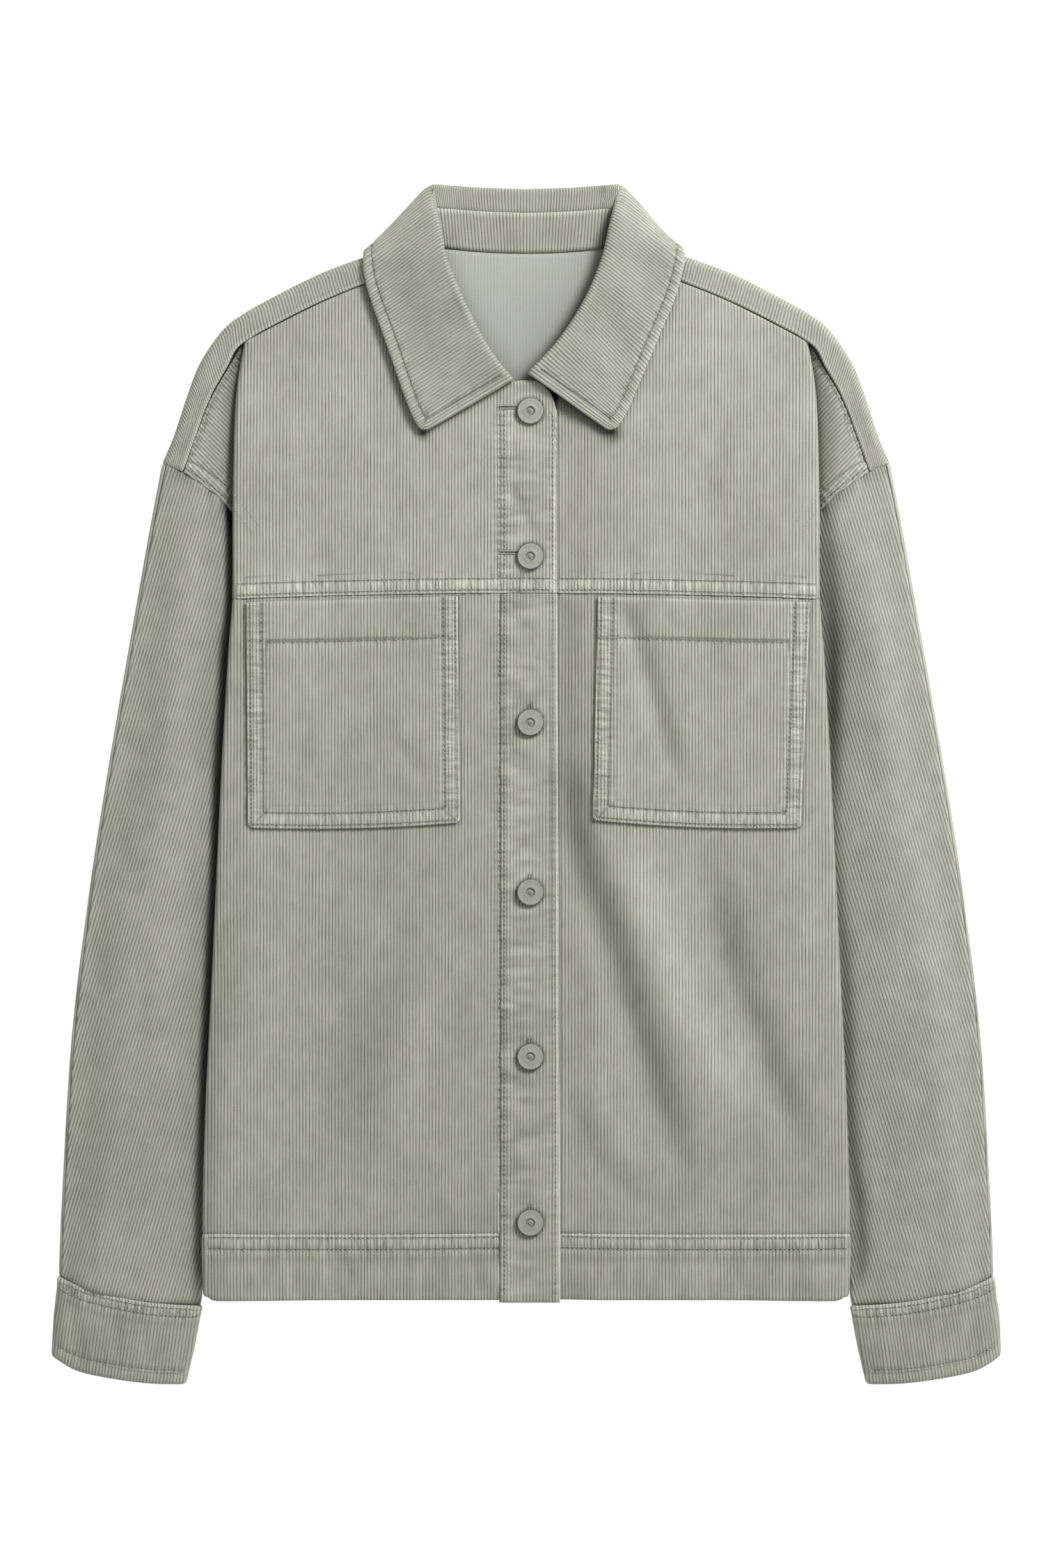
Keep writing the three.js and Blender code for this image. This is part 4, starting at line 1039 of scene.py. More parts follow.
def yoke(side):
    name = {-1: "left", 1: "right"}[side]
    inner_edge = -PLACKET_TOP if side < 0 else UNDERLAP_EDGE
    drop = no_drop if side < 0 else underlap_drop
    fold_low = float(fold_at(yoke_seam(190.0))) - FOLD_RADIUS

    def seam(u):
        d = mix(inner_edge, fold_low, u)
        return pair(d, yoke_seam(np.maximum(d, 0)))

    neck = pair(NECKLINE[side]["d"], NECKLINE[side]["y"])
    shoulder = pair(FRONT_SHOULDER_SEAM["d"], FRONT_SHOULDER_SEAM["y"])
    top = Line(np.concatenate([neck[:-1], shoulder]))
    low = seam(np.array(0.0))[1]
    tip = top(np.array(1.0))

    def inner(v):
        return pair(mix(inner_edge, neck[0, 0], v), mix(low, neck[0, 1], v))

    def outer(v):
        y = mix(seam(np.array(1.0))[1], tip[1], v)
        return pair(mix(fold_at(y) - FOLD_RADIUS, tip[0], smooth(0.9, 1, v)), y)

    v = np.linspace(0, 1, 96)[:, None]
    u = np.linspace(0, 1, 116)[None, :]
    plan = patch(seam, top, inner, outer)(u, v)
    x = side * plan[..., 0]
    y = plan[..., 1]
    top_layer = np.stack([x, y, front_height(x, y) - drop(x)], -1)
    last = top_layer[:, -1]
    depth = mix(22.0, 8.0, smooth(0.3, 1, v[:, 0]))
    armhole = lookup(ARMHOLE["y"], ARMHOLE["d"], np.minimum(last[:, 1], 205))
    end = np.minimum(fold_at(last[:, 1]) - depth, armhole - 4)
    hold = np.minimum(fold_at(last[:, 1]) - depth + 4, armhole + 1.5)
    under = turn_under(side, last[:, 1], last[:, 2], hold, [(end, 0 * end + HIDDEN_SHOULDER + 0.3)])
    grid = trim(np.concatenate([top_layer, under], 1), ["first", "last"])
    shown = top_mask(grid.shape[1], u.size)
    rows = yoke_rows(side)
    relief, painted_light_and_shade = stitched(grid, rows[:2], 30 + side, dark=0.1, shown=shown)
    fine, shade = stitched(grid, rows[2:], 40 + side, 0.4, 0.2, 0.06, shown)
    relief = relief + fine
    painted_light_and_shade = painted_light_and_shade + shade
    front = {"single": [(rows[4], (0.0, 200.0))], "thin": [rows[2], rows[3]]} if side < 0 else {}
    sewn_rows = seam_rows(grid, pairs=[(rows[0], rows[1])], shown=shown, **front)
    rise = grid[..., 1] - yoke_seam(np.abs(grid[..., 0]))
    lap = (1 - smooth(8.6, 10.4, rise)) * shown
    edge = near_edge(grid, "first", 1.8) * shown
    placket = smooth(FACING_STITCH - 0.5, FACING_STITCH + 0.5, grid[..., 0]) * shown if side < 0 else 0.0
    folded = near_edge(grid, "start", 2.2) * shown if side < 0 else 0.0
    fine, shade = placket_wrinkles(grid[..., 0], grid[..., 1])
    if side < 0:
        shade = shade + button_shade(grid[..., 0], grid[..., 1])
    else:
        fine, shade = 0.0, placket_shadow(grid[..., 0], grid[..., 1])
    shade = shade + leaf_shade(side, grid[..., 0], grid[..., 1])
    ladder, ladder_shade = wrinkles(grid[..., 0], grid[..., 1] * 0.3, 3.2, 33 + side, 0.35, 0.11)
    # Painted highlights on the lower edge, lapped band and placket fold; painted shade on wrinkles
    looks = {
        "relief": relief + 0.8 * lap + 0.2 * placket + 0.3 * folded + fine * shown + ladder * lap,
        "painted_light_and_shade": painted_light_and_shade + 0.3 * edge + (0.08 + ladder_shade) * lap + 0.45 * folded + shade * shown,
        "tone": fold_tone(grid, 1.035, shown),
        "rows": sewn_rows,
    }
    piece = Sewn()
    thick = PLY + (DOUBLE_PLY - PLY) * placket
    piece.wall(grid, straight(grid, u.size), thick, seen=(40, 40), **looks)

    visible = pair(ARMHOLE["d"], ARMHOLE["y"])[1:]
    hole = Line(visible[::-1])
    front = reversed_line(DROP_SHOULDER_SEAM)
    root = hole(np.array(0.0))
    top_end = front(np.array(1.0))
    shape = patch(
        hole,
        lambda u: pair(mix(180, top_end[0], u), mix(281, top_end[1], u)),
        lambda v: pair(mix(root[0], 180, v), mix(root[1], 281, v)),
        front,
    )
    u = np.linspace(0, 1, 44)[None, :]
    v = np.linspace(0, 1, 62)[:, None]
    plan = shape(u, v)
    x = side * plan[..., 0]
    y = plan[..., 1]
    grid = trim(np.stack([x, y, drop_height(plan[..., 0], y)], -1), ["first", "end"], 0.35)
    relief, painted_light_and_shade = stitched(grid, drop_rows(side), 50 + side, dark=0.08)
    # Painted shadow that the body's side fold casts on the drop shoulder; below, a painted armhole highlight
    outside = np.maximum(plan[..., 0] - fold_at(y), 0)
    shade = -0.34 * np.exp(-((outside / 15) ** 2)) - 0.45 * np.exp(-((outside / (6 if side < 0 else 4)) ** 2))
    angle = math.radians(46)
    across = y * math.cos(angle) - side * x * math.sin(angle)
    pattern = np.stack([across, side * x * math.cos(angle) + y * math.sin(angle)], -1)
    looks = {"relief": relief + 0.5 * near_edge(grid, "first", 9), "painted_light_and_shade": painted_light_and_shade + shade + 0.1 * near_edge(grid, "first", 2), "tone": 1.03}
    first, second, seam_row = drop_rows(side)
    looks["rows"] = seam_rows(grid, pairs=[(first, second)], thin=[seam_row])
    piece.wall(grid, pattern, PLY, seen=(30, 30), **looks)
    for row in yoke_rows(side) + drop_rows(side):
        thread_rows.append((f"front_yoke_{name}", row))
    rests = [f"under_sleeve_{name}", f"top_sleeve_{name}", "back_panel"]
    flat = (0.262, 0.216)
    return piece.finish(f"front_yoke_{name}", [f"front_yoke_{name}"], "corduroy", flat, 0.050, rests)


def pocket_plan(side, u, v):
    corner = POCKETS[side]
    top = [mix(corner["top"][0][k], corner["top"][1][k], u) for k in (0, 1)]
    hem = [mix(corner["hem"][0][k], corner["hem"][1][k], u) for k in (0, 1)]
    bow = POCKET_BOW * np.sin(math.pi * u) * v
    return side * mix(top[0], hem[0], v), mix(top[1], hem[1], v) - bow


def pocket_rows(side):
    """Two rows down each side and along the bottom, and one across under the folded top."""
    line = np.linspace(0, 1, 24)
    rows = []
    for inset in (1.6, 9.4):
        share = inset / 136
        rows.append(pair(*pocket_plan(side, share + 0 * line, line * (1 - inset / 148))))
        rows.append(pair(*pocket_plan(side, 1 - share + 0 * line, line * (1 - inset / 148))))
        rows.append(pair(*pocket_plan(side, mix(share, 1 - share, line), 1 - inset / 148 + 0 * line)))
    rows.append(pair(*pocket_plan(side, mix(0.01, 0.99, line), 0.181 + 0 * line)))
    return rows


def pocket_outline(side):
    """The two rows that go down one side of a pocket, along its bottom and up the other side."""
    line = np.linspace(0, 1, 16)
    rows = []
    for inset in (1.6, 9.4):
        across, down = inset / 136, 1 - inset / 148
        parts = [
            pair(*pocket_plan(side, across + 0 * line, line * down)),
            pair(*pocket_plan(side, mix(across, 1 - across, line), down + 0 * line)),
            pair(*pocket_plan(side, 1 - across + 0 * line, (1 - line) * down)),
        ]
        rows.append(np.concatenate(parts))
    return rows


def pocket(side):
    name = {-1: "left", 1: "right"}[side]
    u = np.linspace(0, 1, 71)[None, :]
    v = np.linspace(0, 1, 76)[:, None]
    x, y = pocket_plan(side, u, v + 0 * u)
    grid = trim(np.stack([x, y, front_height(x, y) + POCKET_LIFT], -1), ["first"])
    grid = rounded(rounded(grid, -1, 0, 3.0), -1, -1, 3.0)
    relief, painted_light_and_shade = stitched(grid, pocket_rows(side), 60 + side, 0.6, 0.4, 0.10)
    sides = [near_edge(grid, side_name, 7.0) for side_name in ("start", "end", "last")]
    turned = np.maximum.reduce(sides)
    bright = sum(near_edge(grid, side_name, 1.7) for side_name in ("start", "end"))
    hem = 1 - smooth(0.176, 0.19, v + 0 * u)
    beside = np.maximum(near_edge(grid, "start", 9.0), near_edge(grid, "end", 9.0)) * (1 - hem)
    below = near_edge(grid, "last", 9.0)
    fine, shade = wrinkles(x * 0.3, y, 3.4, 61 + side, 0.5, 0.18)
    fine_low, shade_low = wrinkles(x, y * 0.3, 3.4, 65 + side, 0.25, 0.08)
    bars = np.exp(-(((u - 0.064) / 0.007) ** 2)) + np.exp(-(((u - 0.936) / 0.007) ** 2))
    painted_light_and_shade = painted_light_and_shade - 0.5 * bars * hem
    # Painted shade on the wrinkles beside and below, painted highlights along the pocket's edges
    looks = {
        "relief": relief + 0.4 * turned + 0.35 * hem + fine * beside + fine_low * below,
        "painted_light_and_shade": painted_light_and_shade + shade * beside + shade_low * below + 0.03 * turned + 0.22 * bright + 0.16 * near_edge(grid, "last", 1.8) + 0.1 * near_edge(grid, "first", 2),
        "tone": fold_tone(grid, 1.0 + 0.012 * side),
        "rows": seam_rows(grid, pairs=[pocket_outline(side)], single=[(pocket_rows(side)[-1], (side * 112, 60.0))]),
    }
    piece = Sewn()
    piece.wall(grid, np.stack([x, y], -1), PLY, **looks)
    for row in pocket_rows(side):
        thread_rows.append((f"pocket_{name}", row))
    flat = (0.160, 0.195)
    return piece.finish(
        f"pocket_{name}", [f"pocket_{name}"], "corduroy", flat, 0.0222, [f"lower_front_{name}"]
    )


def band_rows(side):
    inner = 17.5 if side < 0 else 22.5
    d = np.linspace(inner, 207, 40)
    return [pair(side * d, band_seam(d) - drop) for drop in (2.2, 9.6)]


def band_front(side):
    name = {-1: "left", 1: "right"}[side]
    inner_edge = -FACING_STITCH + 0.2 if side < 0 else UNDERLAP_EDGE
    fold_in = float(fold_at(-315.0)) - FOLD_RADIUS
    u = np.linspace(0, 1, 96)[None, :]
    v = np.linspace(0, 1, 24)[:, None]
    d = mix(inner_edge, fold_in, u) + 0 * v
    turn = np.clip((u - 0.965) / 0.035, 0, 1)
    y = mix(band_seam(d), HEM + 5 * (1 - np.sqrt(1 - 0.8 * turn**2)), v)
    x = side * d
    drop = 0.0 if side < 0 else 1.2 * underlap_drop(x)
    top = np.stack([x, y, front_height(x, y) - drop], -1)
    last = top[:, -1]
    seam = side_seam(last[:, 1])
    under = turn_under(side, last[:, 1], last[:, 2], seam + 2.6, side_foot(seam, DOUBLE_PLY))
    grid = trim(np.concatenate([top, under], 1), ["first", "start", "end"])
    shown = top_mask(grid.shape[1], u.size)
    relief, painted_light_and_shade = stitched(grid, band_rows(side), 70 + side, 0.9, 0.5, 0.12, shown)
    trough = np.exp(-(((grid[..., 1] + 309.5) / 3.6) ** 2)) * shown
    roll = np.exp(-(((grid[..., 1] + 322) / 8) ** 2)) * shown
    fine, shade = wrinkles(grid[..., 0], grid[..., 1] * 0.3, 6.0, 91, 0.42, 0.10)
    upper, upper_shade = wrinkles(grid[..., 0], grid[..., 1] * 0.4, 2.7, 92, 0.2, 0.07)
    rows = smooth(-304, -299, grid[..., 1])
    # Painted shade on wrinkles and in the trough above the hem; painted highlights at the seam and hem
    looks = {
        "relief": relief - 0.35 * trough + 0.5 * roll + (fine * (1 - rows) + upper * rows) * shown,
        "painted_light_and_shade": painted_light_and_shade + (shade * (1 - rows) + upper_shade * rows) * shown - 0.12 * trough + 0.30 * near_edge(grid, "first", 1.6) + 0.08 * near_edge(grid, "last", 3),
        "tone": 0.955,
        "rows": seam_rows(grid, pairs=[band_rows(side)], shown=shown),
    }
    piece = Sewn()
    piece.wall(grid, straight(grid, u.size), DOUBLE_PLY, seen=(12, 30), **looks)
    for row in band_rows(side):
        thread_rows.append((f"hem_band_{name}", row))
    flat = (0.232, 0.045) if side < 0 else (0.268, 0.045)
    rests = [f"under_sleeve_{name}", "hem_band_back"]
    return piece.finish(f"hem_band_{name}", [f"hem_band_{name}"], "band", flat, None, rests)


def band_back():
    v = np.linspace(0, 1, 12)[:, None]
    u = np.linspace(-1, 1, 70)[None, :]
    y = mix(band_seam(0.0) - 0.6, HEM + 1, v) + 0 * u
    x = u * (side_seam(y) - 4.5)
    grid = trim(np.stack([x, y, DOUBLE_PLY / 2 + 0 * x], -1), ["first", "start", "end"], SEAM_GAP)
    piece = Sewn()
    piece.wall(grid, np.stack([x, y], -1), DOUBLE_PLY, tone=0.95)
    return piece.finish("hem_band_back", ["hem_band_back"], "band", (0.392, 0.043), None, ["studio_floor"])


def back_panel():
    roll = (FRONT_REST + SHOULDER_RISE - FLOOR_PLY) / 2
    fold = line_of(SHOULDER_FOLD)

    def inset(t):
        t = np.asarray(t, float)
        along = unit(fold(np.minimum(t + 0.01, 1)) - fold(np.maximum(t - 0.01, 0)))
        return fold(t) + roll * np.stack([along[..., 1], -along[..., 0]], -1)

    neck = lambda t: pair(mix(0, 60, t), 345 + 4 * t * t)
    neck_share = 0.28

    def top(u):
        u = np.asarray(u, float)
        near = neck(np.minimum(u / neck_share, 1))
        p = inset(np.maximum(u - neck_share, 0) / (1 - neck_share))
        start = 1 - smooth(neck_share, neck_share + 0.08, u)
        far = pair(p[..., 0], mix(p[..., 1], neck(np.array(1.0))[1], start))
        return np.where((u < neck_share)[..., None], near, far)

    arm = reversed_line(ARMHOLE)
    root = arm(np.array(0.0))
    share = 0.28
    low = band_seam(0.0) - 0.6
    clear = 4.5

    def outer(v):
        v = np.asarray(v, float)
        p = arm(np.maximum(v - 1 + share, 0) / share)
        near = smooth(0.9, 1, v)
        gap = mix(root[0] - side_seam(root[1]) + clear, 4, smooth(0, 0.3, 1 + (v - 1) / share))
        tip = top(np.array(1.0))
        high = pair(mix(p[..., 0] - gap, tip[0], near), mix(p[..., 1], tip[1], near))
        y = mix(low, root[1], v / (1 - share))
        return np.where((v > 1 - share)[..., None], high, pair(side_seam(y) - clear, y))

    bottom = lambda u: pair(u * outer(np.array(0.0))[0], low)
    centre = lambda v: pair(0.0, mix(low, 345.0, v))
    v = np.concatenate([np.linspace(0, 0.86, 60), np.linspace(0.87, 1, 40)])[:, None]
    half = patch(bottom, top, centre, outer)(np.linspace(0, 1, 50)[None, :], v)
    grid = np.stack([half[..., 0], half[..., 1], back_height(half[..., 0], half[..., 1])], -1)
    mirrored = grid[:, :0:-1] * np.array([-1, 1, 1])
    grid = trim(np.concatenate([mirrored, grid], 1), ["first", "end"])
    piece = Sewn()
    # Painted shadow on the inside of the back beside each half's roll, deepest beside the right half
    fold_right = collar_rings(1, np.linspace(2.6, 12, 50))["roll"][:, :2]
    away = nearest(grid[..., 0], grid[..., 1], fold_right)[0]
    fold_left = collar_rings(-1, np.linspace(2.6, 12, 50))["roll"][:, :2]
    shade = 0.52 * np.exp(-((away / 8) ** 2)) + 0.16 * np.exp(-((away / 32) ** 2))
    shade = shade + 0.10 * np.exp(-((nearest(grid[..., 0], grid[..., 1], fold_left)[0] / 7) ** 2))
    piece.wall(grid, grid[..., :2].copy(), PLY, reverse="outer", tone=1.03 - shade)
    seam = pair(
        [68] + FRONT_SHOULDER_SEAM["d"][1:-1] + DROP_SHOULDER_SEAM["d"],
        [338.5] + FRONT_SHOULDER_SEAM["y"][1:-1] + DROP_SHOULDER_SEAM["y"],
    )
    seam_line = Line(seam)
    t = np.linspace(0, 1, 121)
    edge = fold(t)
    centre_line = inset(t)
    out = edge - centre_line
    base = back_height(edge[:, 0], edge[:, 1] - 10)
    radius = (FRONT_REST + SHOULDER_RISE - base) / 2
    angle = math.pi * (np.linspace(0, 1, 13) - 0.5)
    around = centre_line[:, None] + out[:, None] * np.cos(angle)[None, :, None]
    z = (base + radius)[:, None] + radius[:, None] * np.sin(angle)
    around = np.concatenate([around, z[..., None]], -1)
    first = np.concatenate([centre_line - 1.2 * out, base[:, None]], -1)[:, None]
    end = np.concatenate([seam_line(t), 0 * t[:, None] + FRONT_REST + SHOULDER_RISE], -1)[:, None]
    level = np.linspace(0.08, 1, 12)[None, :, None]
    start_level = np.linspace(0, 0.9, 4)[None, :, None]
    strip = np.concatenate([mix(first, around[:, :1], start_level), around, mix(around[:, -1:], end, level)], 1)
    for side in (-1, 1):
        grid = trim(trim(strip * np.array([side, 1, 1]), ["end"], 1.0), ["last"], 0.35)
        along = run_along(grid, 0)
        across = run_along(grid, 1)
        ridge = np.exp(-((np.linalg.norm(grid - grid[:, -1:], axis=-1) / 3.0) ** 2))
        steep = smooth(0.42, 0.72, t)[:, None]
        pattern = np.stack([along + mix(0.33, 0.15, steep) * across, across], -1)
        lean = grid[..., 2] - (FRONT_REST + SHOULDER_RISE)
        # Painted highlight along the shoulder seam, faint painted shade beside the ridge
        looks = {
            "relief": 0.35 * ridge + 0.12 * soft_noise(along, across, 14, 5) * (lean > -3),
            "painted_light_and_shade": 0.22 * near_edge(grid, "end", 1.3) - 0.10 * np.exp(-(((ridge - 0.35) / 0.2) ** 2)),
            "tone": 1.0,
        }
        piece.wall(grid, pattern, PLY, seen=(60, 25), **looks)
    flat = (0.520, 0.700)
    return piece.finish(
        "back_panel", ["back_panel"], "corduroy", flat, 0.285, ["studio_floor"], reverse=reverse_side
    )


def sleeve_plan():
    inner = line_of(SLEEVE_INNER)
    return patch(line_of(ARMHOLE), line_of(CUFF_SEAM), line_of(SLEEVE_OUTER), inner)


def sleeve_top(d, y, along, share):
    outside = d - fold_at(np.maximum(y, -330))
    width = smooth(0, 0.3, share) * (1 - smooth(0.75, 1, share))
    crown = SLEEVE_CROWN * smooth(-2, 42, outside) * width
    low = mix(FRONT_REST, SLEEVE_HIDDEN, smooth(0.1, 0.6, share))
    return mix(drop_height(d, y), low + crown, smooth(0, 0.16, along))


def tube(side, plan, top_height, columns, rows):
    """Rows of a flattened tube. Each column has its share across (0 outer edge, 1 inner edge), how far
    it is drawn in from that edge, and how high it is between the floor and the top."""
    along = np.linspace(0, 1, rows)[:, None]
    across, inset, turn = (np.array(column)[None, :] for column in columns)
    start = plan(0.0 * along, along)
    stop = plan(0.0 * along + 1, along)
    width = np.linalg.norm(stop - start, axis=-1)
    point = plan(across, along)
    top = top_height(point[..., 0], point[..., 1], along + 0 * across, across + 0 * along)
    edge_top = np.where(across < 0.5, top_height(start[..., 0], start[..., 1], along, 0 * along), 0)
    edge_top = edge_top + np.where(
        across >= 0.5, top_height(stop[..., 0], stop[..., 1], along, 0 * along + 1), 0
    )
    shift = (edge_top - FLOOR_PLY) / 2 / width
    at_edge = inset * shift
    moved = np.where(across <= 0, at_edge, np.where(across >= 1, 1 - at_edge, mix(shift, 1 - shift, across)))
    placed = plan(moved, along + 0 * moved)
    return np.stack([side * placed[..., 0], placed[..., 1], mix(FLOOR_PLY, top, turn)], -1)


def corner(across, start, stop, count):
    t = np.linspace(start, stop, count)
    return [[across] * count, list(1 - np.sin(math.pi * t)), list((1 - np.cos(math.pi * t)) / 2)]


def level(shares_across, turn):
    return [list(shares_across), [0.0] * len(shares_across), [turn] * len(shares_across)]


def columns_of(*parts):
    return [sum((part[k] for part in parts), []) for k in range(3)]


SLEEVE_CREASES = [
    {"path": [(0.62, 0.12), (0.40, 0.20), (0.18, 0.22)], "width": 0.045, "depth": 1.3},
    {"path": [(0.72, 0.20), (0.45, 0.31), (0.15, 0.33)], "width": 0.04, "depth": 1.0},
    {"path": [(0.30, 0.10), (0.22, 0.40), (0.30, 0.62)], "width": 0.06, "depth": 0.9},
    {"path": [(0.70, 0.45), (0.48, 0.52), (0.24, 0.50)], "width": 0.035, "depth": 0.8},
    {"path": [(0.36, 0.60), (0.50, 0.78), (0.46, 0.95)], "width": 0.06, "depth": 1.1},
    {"path": [(0.68, 0.70), (0.62, 0.86), (0.70, 0.98)], "width": 0.05, "depth": 0.9},
    {"path": [(0.18, 0.72), (0.24, 0.88), (0.18, 0.99)], "width": 0.05, "depth": 0.8},
]


def sleeve_relief(across, along, side):
    """Soft folds of the sleeve, by share across and along, with gathers above the cuff."""
    total = np.zeros(np.broadcast(across, along).shape)
    lane = across * 0.22
    for crease in SLEEVE_CREASES:
        path = Line(crease["path"])(np.linspace(0, 1, 14)) * np.array([0.22, 1.0])
        away, done, length = nearest(lane + 0 * along, along + 0 * lane, path)
        ends = smooth(0, length * 0.35, done) * (1 - smooth(length * 0.65, length, done))
        total -= crease["depth"] * ends * np.exp(-((away / crease["width"] * 1.4) ** 2))
    gathers = 0.45 * soft_noise(across * 90 + 40 * side, along * 30, 9, 44 + side) * smooth(0.86, 1, along)
    broad = 0.6 * soft_noise(across * 90 + 70 * side, along * 560, 60, 48 + side)
    edge = smooth(0, 0.12, across) * (1 - smooth(0.88, 1, across))
    return (total + gathers + broad * smooth(0.05, 0.2, along)) * edge


def top_sleeve(side):
    name = {-1: "left", 1: "right"}[side]
    across = np.linspace(0.025, 0.975, 44)
    columns = columns_of(corner(0, 0.86, 1, 3), level(across, 1.0), corner(1, 1, 0.36, 8))
    grid = tube(side, sleeve_plan(), sleeve_top, columns, 262)
    grid = trim(grid, ["first", "last", "start", "end"])
    share = np.array(columns[0])[None, :]
    along = np.linspace(0, 1, 262)[:, None]
    relief = sleeve_relief(share, along, side)
    middle = grid.shape[1] // 2
    run = run_along(grid, 1)
    down = run_along(grid, 0)[:, middle : middle + 1]
    pattern = leaning(grid, 3, 47)
    seam = near_edge(grid, "start", 2.0)
    dark_seam = near_edge(grid, "last", 3.0)
    hollow = near_edge(grid, "first", 7.0)
    outside = np.abs(grid[..., 0]) - fold_at(np.maximum(grid[..., 1], -330))
    outside = np.maximum(outside, 0)
    y = grid[..., 1]
    # Painted shadow of the body's side fold on the sleeve: deep and close on the left, softer on the right
    if side < 0:
        shadow_from_body = 0.30 * np.exp(-((outside / 16) ** 2)) + 0.64 * (1 - smooth(3.5, 8.5, outside))
        shadow_from_body = shadow_from_body * mix(0.75, 1, smooth(-330, -180, y))
    else:
        shadow_from_body = 0.22 * np.exp(-((outside / 14) ** 2))
        off = lookup(FOLD_SHADOW["y"], FOLD_SHADOW["middle"], y)
        across_it = lookup(FOLD_SHADOW["y"], FOLD_SHADOW["width"], y)
        shadow_from_body += lookup(FOLD_SHADOW["y"], FOLD_SHADOW["depth"], y) * np.exp(-(((outside - off) / across_it) ** 2))
    shadow_from_body = shadow_from_body * smooth(-335, -315, y)
    cap = np.exp(-((run_along(grid, 0) / 17) ** 2))
    fine, shade = wrinkles(run, down * 0.28 + 0 * run, 5.5, 84 + side, 0.5, 0.12)
    # Painted highlight at the outer seam; painted shade by cuff, armhole, outer edge, in folds and wrinkles
    looks = {
        "relief": relief + 0.25 * near_edge(grid, "start", 6) - 0.4 * dark_seam - 0.3 * hollow + fine * cap,
        "painted_light_and_shade": 0.1 * seam - 0.16 * dark_seam - 0.16 * hollow - shadow_from_body + shade * cap - 0.05 * near_edge(grid, "start", 14),
        "tone": 1.0 + 0.05 * relief,
    }
    piece = Sewn()
    piece.wall(grid, pattern, PLY, seen=(130, 20), **looks)
    flat = (0.145, 0.560)
    return piece.finish(
        f"top_sleeve_{name}", [f"top_sleeve_{name}"], "corduroy", flat, 0.058, [f"under_sleeve_{name}"]
    )


def under_sleeve(side):
    name = {-1: "left", 1: "right"}[side]
    across = np.linspace(0.96, 0.04, 22)
    columns = columns_of(corner(1, 0.26, 0, 4), level(across, 0.0), corner(0, 0, 0.8, 10))
    grid = tube(side, sleeve_plan(), sleeve_top, columns, 180)
    grid = trim(grid, ["first", "last", "start", "end"])
    run = run_along(grid, 1)
    middle = grid.shape[1] // 2
    down = run_along(grid, 0)[:, middle : middle + 1]
    pattern = np.stack([run - run[:, middle : middle + 1], down + 0 * run], -1)
    piece = Sewn()
    # A faint painted highlight along its edge
    looks = {"painted_light_and_shade": 0.06 * near_edge(grid, "end", 2.0), "tone": 0.985}
    piece.wall(grid, pattern, PLY, seen=(90, 14), up=-1, **looks)
    flat = (0.125, 0.560)
    return piece.finish(
        f"under_sleeve_{name}", [f"under_sleeve_{name}"], "corduroy", flat, 0.055, ["studio_floor"]
    )


def cuff_plan():
    inner = lambda t: pair(mix(CUFF_SEAM["d"][-1], CUFF_HEM["d"][-1], t**1.2), mix(-340.0, -390.4, t))
    outer = lambda t: pair(mix(303.8, 308.3, t) + 0.6 * np.sin(math.pi * t), mix(-321.0, -372.5, t))
    return patch(line_of(CUFF_SEAM), line_of(CUFF_HEM), outer, inner)


def cuff_height(d, y, along, share):
    return FRONT_REST + 3.6 * np.sin(math.pi * share) ** 0.8 - 0.9 * smooth(0, 1, along) + 0.4


def cuff_rows(side):
    share = np.linspace(0.06, 0.95, 30)
    rows = [cuff_plan()(share, 0 * share + along) for along in (0.045, 0.145, 0.835)]
    return [pair(side * row[:, 0], row[:, 1]) for row in rows]


def cuff(side):
    name = {-1: "left", 1: "right"}[side]
    top = np.linspace(0.02, 0.98, 46)
    floor = np.linspace(0.96, 0.04, 24)
    columns = columns_of(
        corner(0, 0.06, 0.97, 10), level(top, 1.0), corner(1, 0.97, 0.06, 10), level(floor, 0.0)
    )
    grid = tube(side, cuff_plan(), cuff_height, columns, 30)
    grid[..., 2] += (DOUBLE_PLY - PLY) / 2
    grid = trim(grid, ["first"])
    shown = (np.array(columns[2]) > 0.6).astype(float)[None, :]
    relief, painted_light_and_shade = stitched(grid, cuff_rows(side), 80 + side, 0.9, 0.45, 0.10, shown)
    along = np.linspace(0, 1, 30)[:, None]
    ridge = np.exp(-(((along - 0.02) / 0.04) ** 2))
    trough = np.exp(-(((along - 0.26) / 0.06) ** 2)) * shown
    swell = np.exp(-(((along - 0.55) / 0.2) ** 2)) * shown
    fine, shade = wrinkles(grid[..., 0], along * 9 + 0 * grid[..., 0], 6.0, 95 + side, 0.36, 0.09)
    closed = np.concatenate([grid, grid[:, :1]], 1)
    run = run_along(closed, 1)
    start = run[:, 33:34]
    pattern = np.stack([run - start, -50.0 * along + 0 * run], -1)
    first, second, hem_row = cuff_rows(side)
    fine = fine * smooth(0.04, 0.14, along) * (1 - smooth(0.9, 0.97, along))
    # Painted highlight on the ridge at the seam and at the hem; painted shade on wrinkles and in the trough
    looks = {
        "rows": seam_rows(grid, pairs=[(first, second)], thin=[hem_row], shown=shown),
        "relief": relief + 0.5 * ridge - 0.45 * trough + 0.4 * swell + fine * shown,
        "painted_light_and_shade": painted_light_and_shade + shade * shown + 0.26 * ridge - 0.07 * trough + 0.08 * near_edge(grid, "last", 2.5),
        "tone": 0.92,
    }
    piece = Sewn()
    piece.wall(grid, pattern, DOUBLE_PLY, ring=True, seen=(15, 30), **looks)
    for row in cuff_rows(side):
        thread_rows.append((f"cuff_{name}", row))
    flat = (0.205, 0.051)
    return piece.finish(f"cuff_{name}", [f"cuff_{name}"], "band", flat, None, ["studio_floor"])


